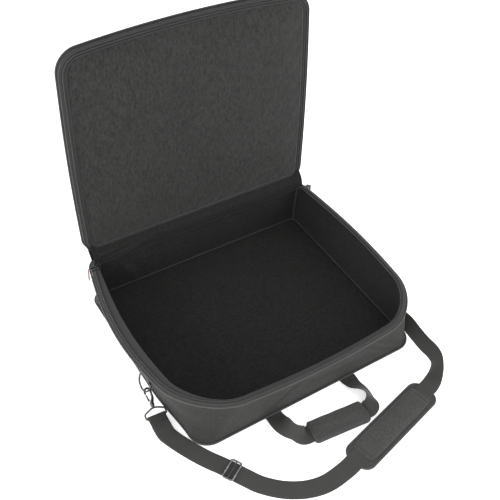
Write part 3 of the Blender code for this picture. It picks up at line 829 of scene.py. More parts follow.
STRAP_STATIONS = (
    (-0.3084, -0.1440, 0.0105, -4), (-0.3087, -0.1552, 0.0092, -3), (-0.3087, -0.1620, 0.0081, -3),
    (-0.3072, -0.1720, 0.0062, -2), (-0.3010, -0.1870, 0.0040, 0),
    (-0.2915, -0.2070, 0.0020, 0), (-0.2800, -0.2300, 0.0012, 0),
    (-0.2650, -0.2570, 0.0012, 0), (-0.2500, -0.2810, 0.0026, 0), (-0.2375, -0.3025, 0.0036, 0),
    (-0.2215, -0.3300, 0.0030, 0), (-0.2030, -0.3570, 0.0016, 0), (-0.1710, -0.3870, 0.0012, 0),
    (-0.1330, -0.4080, 0.0012, 0), (-0.0930, -0.4170, 0.0014, 0), (-0.0500, -0.4150, 0.0050, 0),
    (-0.0190, -0.4090, 0.0072, 0), (0.0400, -0.3940, 0.0072, 0), (0.1020, -0.3790, 0.0072, 0),
    (0.1640, -0.3635, 0.0072, 0), (0.2180, -0.3502, 0.0072, 0), (0.2320, -0.3465, 0.0074, 0),
    (0.2440, -0.3415, 0.0090, 12), (0.2560, -0.3345, 0.0122, 30), (0.2710, -0.3230, 0.0155, 48),
    (0.2860, -0.3060, 0.0184, 64), (0.2915, -0.2850, 0.0188, 66), (0.2905, -0.2600, 0.0188, 66),
    (0.2925, -0.2300, 0.0188, 66), (0.2955, -0.1980, 0.0188, 62), (0.2945, -0.1790, 0.0176, 58),
    (0.2950, -0.1660, 0.0164, 56), (0.2963, -0.1489, 0.0188, 57))


@dataclass
class ShoulderStrap:
    """The long webbing strap with its padded shoulder rest; TriGlide makes the adjuster on it."""

    stations: Sequence[Sequence[float]] = STRAP_STATIONS
    pad_centre: Point = (0.1020, -0.3795, 0.0)
    pad_heading: tuple[float, float] = (0.242, 0.060)
    pad_length: float = 0.250
    pad_width: float = 0.066
    pad_corner: float = 0.022
    crown_length: float = 0.204
    crown_width: float = 0.053
    pieces: list[Any] = field(default_factory=list)

    def pad_place(self, local: Array) -> Array:
        """Turn pad coordinates (along, across, up) into the model's frame."""
        ax = unit(np.array(self.pad_heading))
        x = ax[0] * local[..., 0] - ax[1] * local[..., 1] + self.pad_centre[0]
        y = ax[1] * local[..., 0] + ax[0] * local[..., 1] + self.pad_centre[1]
        return np.stack([x, y, local[..., 2]], -1)

    def pad_plan(self) -> Array:
        """The wings' outline, a rounded rectangle about the pad's centre."""
        half = (self.pad_length / 2, self.pad_width / 2)
        return rounded_plan((-half[0], -half[1]), half, self.pad_corner, self.pad_corner, 12, 24)

    def pad_ring(self, inset: float, height: float) -> Array:
        """The outline drawn in by inset, at a height over the ground."""
        flat = drawn_in(self.pad_plan(), inset)
        return self.pad_place(np.column_stack([flat, np.full(len(flat), height)]))

    def base(self) -> bpy.types.Object:
        """The flat wings: a thin padded plate whose rolled edge is lower than its middle."""
        draw = (0.030, 0.012, 0.003, 0.0009, 0.0, 0.0, 0.0009, 0.003, 0.006, 0.010, 0.030)
        rise = (0.0006, 0.0005, 0.0005, 0.0010, 0.0022, 0.0036, 0.0048, 0.0054, 0.0053, 0.0056, 0.0058)
        return domed("shoulder_pad_wings", self.pad_plan(), draw, rise, self.pad_place)

    def piping(self) -> bpy.types.Object:
        """The bound edge: a soft bead that runs round the wings."""
        path = self.pad_ring(0.0006, 0.0031)
        t = tangents(path, loop=True)
        out = np.cross(t, UP)
        profile = circle(1.0, 16) * (0.0019, 0.0031)
        return sweep("shoulder_pad_piping", path, profile, out, np.broadcast_to(UP, out.shape), True)

    def crown(self) -> bpy.types.Object:
        """The padded upper panel, puffed by the cloth solver between its sewn edges.

        Its height is flat-topped across and pinched along two sewn lines near the ends.
        """
        x = np.linspace(-1.0, 1.0, 97)[:, None]
        y = np.linspace(-1.0, 1.0, 33)[None, :]
        half_x, half_y = self.crown_length / 2 - 0.001, self.crown_width / 2 - 0.001
        px = x * half_x + 0 * y
        py = y * half_y * (1 - 0.10 * np.abs(x) ** 9)
        rim = (1 - np.abs(x) ** 16) * (1 - np.abs(y) ** 8)
        lines = bump_line(px, 0.094, 0.0030) + bump_line(px, -0.094, 0.0030)
        rise = 0.0080 + 0.0034 * rim * (1 - 0.75 * lines)
        top = self.pad_place(np.stack([px, py, rise + 0 * y], -1))
        panel = sheet_mesh("shoulder_pad_crown", top)
        settle(panel, np.abs(rim * (1 - lines)).reshape(-1) < 0.30, 0.0016)
        return solid(panel, 0.0012, -1.0)

    def build(self) -> None:
        ribbon = Ribbon(self.stations)
        strap = fit(ribbon.build("shoulder_strap", 0.0003), STRAP_WEB, "tray", "strap_webbing")
        wings = fit(self.base(), OXFORD_PAD, "tray", "shoulder_pad_base")
        crown = fit(self.crown(), OXFORD_PAD, "tray", "shoulder_pad_top")
        bead = fit(self.piping(), BINDING, "tray")
        self.pieces += [wings, crown, bead, *self.seams()]
        self.strap, self.path = strap, ribbon.frames()[0]

    def seams(self) -> list[bpy.types.Object]:
        """The thread: one row inside the pad's edge and two cross rows on its crown."""
        path = self.pad_ring(0.0042, 0.0058)
        path = np.vstack([path, path[:1]])
        rows = [sew("shoulder_pad_edge_stitch", path, UP, "tray")]
        for side in Side:
            y = np.linspace(-0.024, 0.024, 30)
            x = np.full_like(y, side.value * 0.094)
            line = self.pad_place(np.column_stack([x, y, np.full_like(y, 0.0096)]))
            rows.append(sew(f"shoulder_pad_cross_stitch_{side.tag}", line, UP, "tray"))
        return rows

    def declare(self) -> None:
        tuple(self.path[0])
        float(lengths(self.path)[-1])
        [tuple(p) for p in self.path[::4].tolist()] + [tuple(self.path[-1].tolist())]
        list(self.pieces)


# ---------------------------------------------------------------- local places


@dataclass
class Place:
    """A local set of axes in the model's frame; axes holds local x, y and z as rows."""

    origin: Array
    axes: Array

    def __call__(self, local: Array) -> Array:
        """Turn local points into the model's frame."""
        return self.origin + np.asarray(local, float) @ self.axes

    def way(self, x: float, y: float, z: float) -> Array:
        """A local direction in the model's frame."""
        return np.array([x, y, z], float) @ self.axes


def upright(x: float, y: float, z: float = 0.0, turn: float = 0.0) -> Place:
    """A place on the ground, turned about the vertical by degrees."""
    a = math.radians(turn)
    axes = np.array([[math.cos(a), math.sin(a), 0.0], [-math.sin(a), math.cos(a), 0.0], [0.0, 0.0, 1.0]])
    return Place(np.array([x, y, z]), axes)


def strip(name: str, path: Array, across: Array, width: float, thick: float) -> bpy.types.Object:
    """A flat strap along a path that bends only about one fixed direction, its across."""
    along = tangents(path)
    side = np.broadcast_to(unit(across), path.shape)
    return sweep(name, path, flat_band(width, thick), side, np.cross(side, along))


def filled(name: str, outline: Array, height: Callable[[Array, Array, Array], Array],
           place: Callable[[Array], Array], rings: int = 46) -> bpy.types.Object:
    """A surface that fills an outline, its height a function of plan position.

    Args:
        name: the piece's name.
        outline: the plan, as (x, y) pairs.
        height: gives z from x, y and the ring fraction, 1 at the edge and 0 at the middle.
        place: turns local points into the model's frame.
        rings: how many rings run from the edge to the middle.

    Returns:
        The surface, with its plan as its UV map, so that the weave runs straight.
    """
    f = np.linspace(1.0, 0.02, rings)[:, None]
    middle = (outline.min(axis=0) + outline.max(axis=0)) / 2
    x = middle[0] + (outline[None, :, 0] - middle[0]) * f
    y = middle[1] + (outline[None, :, 1] - middle[1]) * f
    local = np.stack([x, y, height(x, y, np.broadcast_to(f, x.shape))], -1)
    obj = sheet_mesh(name, place(local), wrap_cols=True, caps=(False, True))
    mesh = obj.data
    corner = np.empty(len(mesh.loops), np.int32)
    mesh.loops.foreach_get("vertex_index", corner)
    flat = local[..., :2].reshape(-1, 2)[corner]
    mesh.uv_layers[0].data.foreach_set("uv", flat.astype(np.float32).ravel())
    return obj


# ---------------------------------------------------------------- the tray


@dataclass
class TrayForm:
    """The tray's plan: a rounded rectangle whose sides swell outwards towards the rim."""

    width: float = 0.560
    depth: float = 0.466
    rim: float = 0.128
    low_radius: float = 0.036
    rim_radius: float = 0.102
    back_radius: float = 0.024
    bulge_left: float = 0.038
    bulge_right: float = 0.016
    bulge_front: float = 0.020
    left_taper: float = 0.012
    corner: int = 22
    side: int = 84

    def plan(self, z: float, inset: Any = 0.0) -> Array:
        """The outline at a height, moved inwards by inset.

        Swelling grows as the height fraction to the power 1.2. Sides move out by their bulge
        times the sine of the way forward; the front moves out by its bulge times the forward
        fraction squared and one less the across fraction squared. The left side's foot is drawn
        in towards the front corner by a smooth step.
        """
        h = min(max(z / self.rim, 0.0), 1.05)
        half = (self.width / 2, self.depth / 2)
        radius = self.low_radius + (self.rim_radius - self.low_radius) * h
        p = rounded_plan((-half[0], -half[1]), half, radius, self.back_radius, self.corner, self.side)
        swell = h**1.2
        forward = np.clip(0.5 - p[:, 1] / self.depth, 0.0, 1.0)
        across = p[:, 0] / half[0]
        bulge = np.where(p[:, 0] < 0, self.bulge_left, self.bulge_right)
        x = p[:, 0] + across * bulge * swell * np.sin(math.pi * forward)
        y = p[:, 1] - self.bulge_front * swell * forward**2 * np.maximum(1 - across**2, 0.0)
        ahead = np.clip((-p[:, 1] - 0.06) / 0.14, 0.0, 1.0)
        leftness = np.clip((-p[:, 0] - 0.10) / 0.10, 0.0, 1.0)
        x = x + self.left_taper * max(1.0 - h, 0.0) * leftness * ahead**2 * (3 - 2 * ahead)
        return drawn_in(np.stack([x, y], -1), inset)

    def ring(self, z: float, inset: Any = 0.0) -> Array:
        """The outline as points in space at that height."""
        flat = self.plan(z, inset)
        return np.column_stack([flat, np.full(len(flat), z)])

    def wall_x(self, side: Side, z: Any, y: float) -> Any:
        """Where a side wall's outer face is at a height and a depth."""
        bulge = self.bulge_left if side is Side.LEFT else self.bulge_right
        swell = (np.asarray(z, float) / self.rim) ** 1.2
        return side.value * (self.width / 2 + bulge * swell * math.sin(math.pi * (0.5 - y / self.depth)))

    def front_run(self, ring: Array) -> Array:
        """The part of a ring from the back left corner round the front to the back right one."""
        return ring[self.corner // 2: len(ring) - self.side - self.corner // 2]


@dataclass
class Tray:
    """The padded lower half: outer cloth, dark lining, floor and the bindings between them."""

    form: TrayForm = field(default_factory=TrayForm)
    levels: int = 40

    def outer(self) -> bpy.types.Object:
        """The outer wall: the plan drawn up the height, pushed in and out by folds.

        The push is a soft sag between the seams, uneven ripples, slanting creases near the
        right end of the front, and a slack dent on the front left corner.
        """
        rows = []
        for z in np.linspace(0.0042, 0.1186, self.levels):
            base = self.form.plan(z)
            x, y = base[:, 0], base[:, 1]
            s = lengths(base, True)[:-1]
            mid = math.sin(math.pi * min(max((z - 0.004) / 0.115, 0.0), 1.0))
            push = 0.0008 * mid + 0.0009 * mid * ripple(s, np.full_like(s, z * 1.4), 1.3)
            front = np.clip((-y - 0.16) / 0.05, 0.0, 1.0)
            slant = x + 1.15 * z
            crease = (bump_line(slant, 0.235, 0.007) + 0.8 * bump_line(slant, 0.272, 0.006)
                      + 0.6 * bump_line(slant, 0.203, 0.010) - 0.7 * bump_line(slant, 0.252, 0.009)
                      - 0.5 * bump_line(slant, 0.219, 0.008))
            push = push + 0.0026 * crease * front * mid**0.6
            low = x - 0.9 * z
            crease2 = bump_line(low, -0.135, 0.010) - 0.7 * bump_line(low, -0.112, 0.012)
            push = push + 0.0014 * crease2 * front * mid
            corner = np.exp(-((x + 0.262) ** 2 + (y + 0.190) ** 2) / 0.045**2)
            wave = math.sin((z - 0.02) * 75.0)
            push = push + corner * mid * (0.0022 + 0.0016 * wave)
            push = push + 0.0016 * mid * bump_line(z, 0.088 - 0.25 * (x + 0.05), 0.016) * front
            left = np.clip((-x - 0.24) / 0.03, 0.0, 1.0)
            push = push + left * mid * 0.0016 * np.sin(y * 34.0 + z * 30.0)
            rows.append(self.form.ring(z, push))
        return solid(sheet_mesh("tray_outer_wall", np.stack(rows), wrap_cols=True), 0.0014, -1.0)

    def lining(self) -> bpy.types.Object:
        """The inner wall, puffed and puckered where the foam behind it is soft."""
        rows = []
        for z in np.linspace(0.0118, 0.1190, 34):
            base = self.form.plan(z)
            s = lengths(base, True)[:-1]
            mid = math.sin(math.pi * min(max((z - 0.011) / 0.107, 0.0), 1.0))
            push = 0.0094 + 0.0020 * mid**0.7 + 0.0013 * mid * ripple(s * 1.2, np.full_like(s, z), 2.1)
            x, y = base[:, 0], base[:, 1]
            slack = np.clip((y - 0.19) / 0.03, 0.0, 1.0) * np.exp(-(((x + 0.16) / 0.10) ** 2))
            push = push + 0.0026 * mid * slack * (1.0 + np.sin((z - 0.45 * (x + 0.28)) * 370.0))
            back = np.clip((y - 0.20) / 0.02, 0.0, 1.0)
            pucker = bump_line(x + 0.5 * z, -0.165, 0.012) - 0.6 * bump_line(
                x + 0.5 * z, -0.140, 0.010) + 0.7 * bump_line(x - 0.4 * z, -0.225, 0.014)
            push = push + back * mid * 0.0026 * pucker
            rows.append(self.form.ring(z, push))
        return solid(sheet_mesh("tray_wall_lining", np.stack(rows), wrap_cols=True), 0.0010, 1.0)

    def floor(self) -> bpy.types.Object:
        """The padded floor: flat, a little proud in the middle and dished along its welt."""
        def height(x: Array, y: Array, f: Array) -> Array:
            edge = 1 - f**14
            wave = ripple(x * 0.9, y * 0.9, 0.7) * 0.0005
            return 0.0103 + 0.0018 * edge + wave * edge
        outline = self.form.plan(0.0112, 0.0096)
        floor = filled("tray_floor_lining", outline, height, Place(np.zeros(3), np.eye(3)))
        return solid(floor, 0.0010, -1.0)

    def under(self) -> bpy.types.Object:
        """The underside: heavy cloth, flat where it rests, turned up at its edge."""
        def height(x: Array, y: Array, f: Array) -> Array:
            return 0.0001 + 0.0030 * f**40
        outline = self.form.plan(0.0, 0.0006)[::-1]
        return filled("tray_underside", outline, height, Place(np.zeros(3), np.eye(3)), 40)

    def build(self) -> None:
        """Make and dress the tray's cloth, seams and bound edges."""
        form = self.form
        fit(self.outer(), OXFORD, "tray", "base_wall_outer")
        foams = ("base_foam_back", "base_foam_front", "base_foam_left", "base_foam_right")
        wall = fit(self.lining(), LINER, "tray", "base_wall_lining", *foams)
        floor = fit(self.floor(), LINER, "tray", "base_floor_lining", "base_floor_foam")
        fit(solid(self.under(), 0.0016, -1.0), OXFORD, "tray", "base_bottom_panel")
        bottom = tube("tray_bottom_piping", form.ring(0.0048, -0.0024), 0.0021, UP, True)
        fit(bottom, BINDING, "tray", "base_bottom_piping")
        welt = tube("tray_floor_welt", form.ring(0.0135, 0.0108), 0.0021, UP, True)
        fit(welt, WELT, "tray", "base_floor_welt")
        reach = (form.width / 2 - 0.0158, form.depth / 2 - 0.0158)
        for side in Side:
            z = np.linspace(0.0150, 0.1180, 40)
            lean = 0.0006 * np.sin(z * 70.0)
            path = np.stack([np.full_like(z, side.value * reach[0]) + lean, np.full_like(z, reach[1]), z], -1)
            bind = tube(f"tray_corner_binding_{side.tag}", path, 0.0022, (0.0, 1.0, 0.0))
            fit(bind, WELT, "tray", f"base_corner_bind_{side.tag}")
        low = form.ring(0.0088, -0.0004)
        out = np.column_stack([low[:, :2] - form.plan(0.0088, 0.004), np.zeros(len(low))])
        sew("tray_bottom_stitch", low, out, "tray")


@dataclass
class Rim:
    """What runs round the tray's mouth: bound edge, turned-in zip tape, coil and piping."""

    form: TrayForm = field(default_factory=TrayForm)

    def lip(self, plan: Array) -> Array:
        """How far the tape turns in: widest along the left side."""
        leftness = np.clip((-plan[:, 0] - 0.18) / 0.10, 0.0, 1.0)
        middle = np.sin(math.pi * np.clip(0.5 - plan[:, 1] / self.form.depth, 0.0, 1.0))
        return 0.0118 + 0.0135 * leftness * np.maximum(middle, 0.0) ** 0.7

    def tape(self) -> bpy.types.Object:
        """The tape lies on the rim and its free edge dips and wanders a little."""
        plan = self.form.plan(self.form.rim)
        s = lengths(plan, True)[:-1]
        lip = self.lip(plan)
        rows = []
        for t in np.linspace(0.0, 1.0, 12):
            inset = -0.0006 + (lip + 0.0006) * t
            dip = np.maximum(inset - 0.0102, 0.0) * 0.16
            wander = 0.00035 * t**2 * np.sin(s * 31.0 + np.sin(s * 11.0))
            z = 0.1216 + 0.0007 * math.sin(math.pi * min(t * 1.3, 1.0)) - dip + wander
            rows.append(np.column_stack([self.form.plan(self.form.rim, inset), z]))
        return solid(sheet_mesh("rim_zip_tape", np.stack(rows), wrap_cols=True), 0.0010, 1.0)

    def coil(self) -> bpy.types.Object:
        """The nylon coil: a tube whose radius ripples once for each turn of the spiral."""
        ring = self.form.front_run(self.form.ring(self.form.rim, 0.0062))
        ring[:, 2] = 0.1250
        path = even(smooth_line(ring, 4), 3400)
        s = lengths(path)
        radius = 0.0019 + 0.00035 * np.sin(2 * math.pi * s / 0.0016)
        return tube("rim_zip_coil", path, radius, UP, sides=8)

    def binding(self) -> bpy.types.Object:
        """A folded tape over the wall's top edge, softly rounded."""
        path = self.form.ring(self.form.rim, 0.0046)
        path[:, 2] = 0.1197
        t = tangents(path, True)
        out = np.cross(t, UP)
        profile = soft_box((0.0054, 0.0015), (0.5, 0.6))
        return sweep("rim_binding", path, profile, out, np.broadcast_to(UP, out.shape), True)

    def build(self) -> None:
        """Make and dress the rim."""
        fit(self.binding(), BINDING, "tray", "base_rim_binding")
        fit(self.tape(), ZIP_TAPE, "tray", "base_zip_tape")
        fit(self.coil(), COIL, "tray", "base_zip_coil")
        ring = self.form.ring(self.form.rim, -0.0030)
        ring[:, 2] = 0.1188
        fit(tube("rim_piping", ring, 0.0021, UP, True), BINDING, "tray", "base_rim_piping")
        for name, inset in (("inner", 0.0098), ("outer", 0.0018)):
            row = self.form.ring(self.form.rim, inset)
            row[:, 2] = 0.1226
            sew(f"rim_{name}_stitch", row, UP, "tray")


# ---------------------------------------------------------------- the lid


@dataclass
class Lid:
    """The padded lid, standing open, worked out flat and then turned up about its hinge."""

    width: float = 0.560
    length: float = 0.466
    radius: float = 0.040
    crown: float = 0.015
    side_crown: float = 0.005
    open_degrees: float = 96.6
    hinge: tuple[float, float] = (0.235, 0.1345)
    corner: int = 20
    side: int = 84

    def __post_init__(self) -> None:
        """Work out the lid's axes: x along the hinge, y back to it, z out of its face."""
        c, s = math.cos(math.radians(-self.open_degrees)), math.sin(math.radians(-self.open_degrees))
        axes = np.array([[1.0, 0.0, 0.0], [0.0, c, s], [0.0, -s, c]])
        self.place = Place(np.array([0.0, *self.hinge]), axes)

    def plan(self, inset: Any = 0.0) -> Array:
        """The lid's outline; its sides and free edge crown out as half a sine and a parabola."""
        p = rounded_plan((-self.width / 2, -self.length), (self.width / 2, -0.003),
                         self.radius, self.radius * 0.8, self.corner, self.side)
        forward = np.clip(-p[:, 1] / self.length, 0.0, 1.0)
        across = p[:, 0] / (self.width / 2)
        x = p[:, 0] + across * self.side_crown * np.sin(math.pi * forward)
        y = p[:, 1] - self.crown * forward * np.maximum(1 - across**2, 0.0)
        return drawn_in(np.stack([x, y], -1), inset)

    def ring(self, z: Any, inset: Any = 0.0) -> Array:
        """The outline in the model's frame, z out from the lid's inner face."""
        flat = self.plan(inset)
        return self.place(np.column_stack([flat, np.broadcast_to(z, (len(flat),))]))

    def lining(self) -> bpy.types.Object:
        """The brushed inner panel, puffed by the solver from a low dome.

        It dips at its seam, rises in a soft roll inside it, and is uneven in the middle.
        """
        def height(x: Array, y: Array, f: Array) -> Array:
            roll = 1 - f**10
            soft = ripple(x * 0.55, y * 0.55, 1.9) * 0.0012 * (1 - f**6)
            pucker = 0.0005 * f**8 * np.sin(x * 160.0 + y * 140.0) * (1 - f**30)
            return 0.0012 - 0.0052 * roll - soft - pucker - 0.0012 * (1 - f**2)
        panel = filled("lid_lining_panel", self.plan(0.0125)[::-1], height, self.place, 60)
        held = np.zeros(len(panel.data.vertices), bool)
        held[: 2 * len(self.plan())] = True
        settle(panel, held, 0.0004)
        return solid(panel, 0.0010, -1.0)

    def outer(self) -> bpy.types.Object:
        """The outer panel, crowned over its foam."""
        def height(x: Array, y: Array, f: Array) -> Array:
            soft = ripple(x * 0.6, y * 0.6, 0.4) * 0.0009
            return 0.0150 + 0.0034 * (1 - f**8) + soft * (1 - f**6)
        return solid(filled("lid_outer_panel_cloth", self.plan(0.0006), height, self.place), 0.0012, -1.0)

    def band(self) -> bpy.types.Object:
        """The side band between the two panels, swelling a little at mid-height."""
        s = lengths(self.plan(), True)[:-1]
        rows = []
        for t in np.linspace(0.0, 1.0, 10):
            swell = -0.0014 * math.sin(math.pi * t) + 0.0004 * math.sin(math.pi * t) * np.sin(s * 60.0)
            rows.append(self.ring(0.0022 + 0.0126 * t, swell))
        return solid(sheet_mesh("lid_side_band", np.stack(rows), wrap_cols=True), 0.0012, -1.0)

    def tape(self) -> bpy.types.Object:
        """The zip tape round the lid's inner edge, sewn down between two low ridges."""
        rows = []
        for t in np.linspace(0.0, 1.0, 14):
            z = 0.0014 - 0.0010 * math.sin(math.pi * t) ** 2
            rows.append(self.ring(z, -0.0006 + 0.0136 * t))
        return solid(sheet_mesh("lid_zip_tape_cloth", np.stack(rows), wrap_cols=True), 0.0010, 0.0)

    def coil(self) -> bpy.types.Object:
        """The lid's half of the coil, the same ribbed tube as on the rim."""
        ring = self.ring(-0.0013, 0.0048)[self.corner // 2: -self.side - self.corner // 2]
        path = even(smooth_line(ring, 4), 3200)
        radius = 0.0018 + 0.00035 * np.sin(2 * math.pi * lengths(path) / 0.0016)
        return tube("lid_zip_coil_ribbed", path, radius, self.place.way(0, 0, 1), sides=8)

    def build(self) -> None:
        """Make and dress the lid."""
        out = self.place.way(0, 0, 1)
        lining = fit(self.lining(), BRUSHED, "lid", "lid_lining", "lid_foam")
        fit(self.outer(), OXFORD, "lid", "lid_outer_panel")
        fit(self.band(), OXFORD, "lid", "lid_edge_band")
        fit(self.tape(), ZIP_TAPE, "lid", "lid_zip_tape")
        fit(self.coil(), COIL, "lid", "lid_zip_coil")
        fit(tube("lid_edge_piping", self.ring(0.0148, -0.0022), 0.0021, out, True), BINDING, "lid",
            "lid_piping")
        fit(tube("lid_inner_welt", self.ring(-0.0004, 0.0102), 0.0014, out, True), WELT, "lid",
            "lid_lining_welt")
        fit(tube("lid_inner_piping", self.ring(0.0012, -0.0012), 0.0018, out, True), WELT, "lid")
        # The seam cord round the lining is darkened with painted shade for the shadow in its groove.
        fit(tube("lid_lining_seam_shade", self.ring(0.0002, 0.0124), 0.0012, out, True), SEAM_SHADE, "lid")
        sew("lid_tape_stitch", self.ring(-0.0001, 0.0080), -out, "lid")
        sew("lid_outer_stitch", self.ring(0.0172, 0.0052), out, "lid")
        self.gusset()

    def gusset(self) -> None:
        """The two cloth strips across the hinge, one inside and one outside, each shaped to run from the tray
        to the lid.
        """
        t = np.linspace(0.0, 1.0, 24)[:, None, None]
        x = np.linspace(-0.2755, 0.2755, 90)
        base_bow = fall_back(x, self.width / 2, 0.024)
        lid_bow = fall_back(x, self.width / 2, self.radius * 0.8)
        ends = {
            "inside": (np.array([0.2210, 0.1105]), np.array([-0.0140, 0.0004]), (-0.0075, 0.0050)),
            "outside": (np.array([0.2338, 0.1185]), np.array([-0.0050, 0.0156]), (0.0030, 0.0)),
        }
        for name, (low, high, belly) in ends.items():
            foot = np.stack([x, low[0] - base_bow, np.full_like(x, low[1])], -1)
            head = self.place(np.stack([x, high[0] - lid_bow, np.full_like(x, high[1])], -1))
            middle = self.place(np.array([0.0, *high]))
            grid = foot + (head - foot) * t + np.array([0.0, *belly]) * np.sin(math.pi * t)
            if name == "inside":
                slack = np.exp(-(((x + 0.215) / 0.075) ** 2)) * np.sin(math.pi * t[:, :, 0])
                grid[..., 1] -= 0.0026 * slack * (1.0 + np.sin(15.0 * t[:, :, 0] - 48.0 * x))
            piece = solid(sheet_mesh(f"hinge_gusset_{name}", grid), 0.0010, 0.0)
            finish = LINER if name == "inside" else OXFORD
            piece.data.materials.append(dressed(finish))
            if name == "inside":
                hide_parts("hinge_gusset")
            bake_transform(piece)
            LOG.info("%s bends between tray and lid", piece.name)


# ---------------------------------------------------------------- zip sliders


@dataclass
class ZipSlider:
    """One slider parked at the hinge end of the coil, with its pull hanging outside."""

    side: Side
    form: TrayForm = field(default_factory=TrayForm)
    y: float = 0.2020
    seat_z: float = 0.1252
    pull_length: float = 0.034

    def build(self) -> None:
        """The slider is a waisted plate with a bridge; the pull is a moulded tag on it."""
        tag, sign = self.side.tag, self.side.value
        x = abs(float(self.form.wall_x(self.side, self.form.rim, self.y))) - 0.0042
        place = upright(sign * x, self.y, self.seat_z)
        plan = rounded_plan((-0.0095, -0.0060), (0.0095, 0.0060), 0.0028, 0.0028, 8, 12)
        plan[:, 1] *= 1 - 0.20 * np.cos(plan[:, 0] / 0.0095 * math.pi / 2)
        draw = (0.004, 0.0010, 0.0002, 0.0, 0.0, 0.0003, 0.0010, 0.004)
        rise = (0.0026, 0.0026, 0.0028, 0.0032, 0.0042, 0.0048, 0.0051, 0.0052)
        fit(domed(f"zip_slider_body_{tag}", plan, draw, rise, place), GUNMETAL,
            f"zip_slider_{tag}", f"zip_slider_{tag}")
        a = np.linspace(0.0, math.pi, 24)
        bridge = np.stack([0.0062 * np.cos(a), 0 * a, 0.0048 + 0.0024 * np.sin(a) ** 0.6], -1)
        fit(tube(f"zip_bridge_{tag}", place(bridge), 0.0009, (0.0, 1.0, 0.0)), GUNMETAL,
            f"zip_slider_{tag}")
        hang = sign * 0.0122
        t = np.linspace(0.0, 1.0, 40)
        z = 0.0050 - self.pull_length * t
        path = place(np.stack([np.full_like(z, hang), 0 * z, z], -1))
        wide = 0.0032 + 0.0011 * t + 0.0003 * np.sin(t * 60.0) * (t > 0.62)
        wide = wide * np.sqrt(np.clip(np.minimum(t / 0.06, (1 - t) / 0.06), 0.05, 1.0))
        half = np.stack([wide, np.full_like(wide, 0.0009)], -1)
        shape = soft_box((1.0, 1.0), (0.55, 0.7)) * half[:, None, :]
        across = np.broadcast_to(np.array([0.0, 1.0, 0.0]), path.shape)
        lift = np.broadcast_to(np.array([1.0, 0.0, 0.0]), path.shape)
        fit(sweep(f"zip_pull_tag_{tag}", path, shape, across, lift), PULL_RUBBER,
            f"zip_pull_{tag}", f"zip_pull_{tag}")


# ---------------------------------------------------------------- side hardware


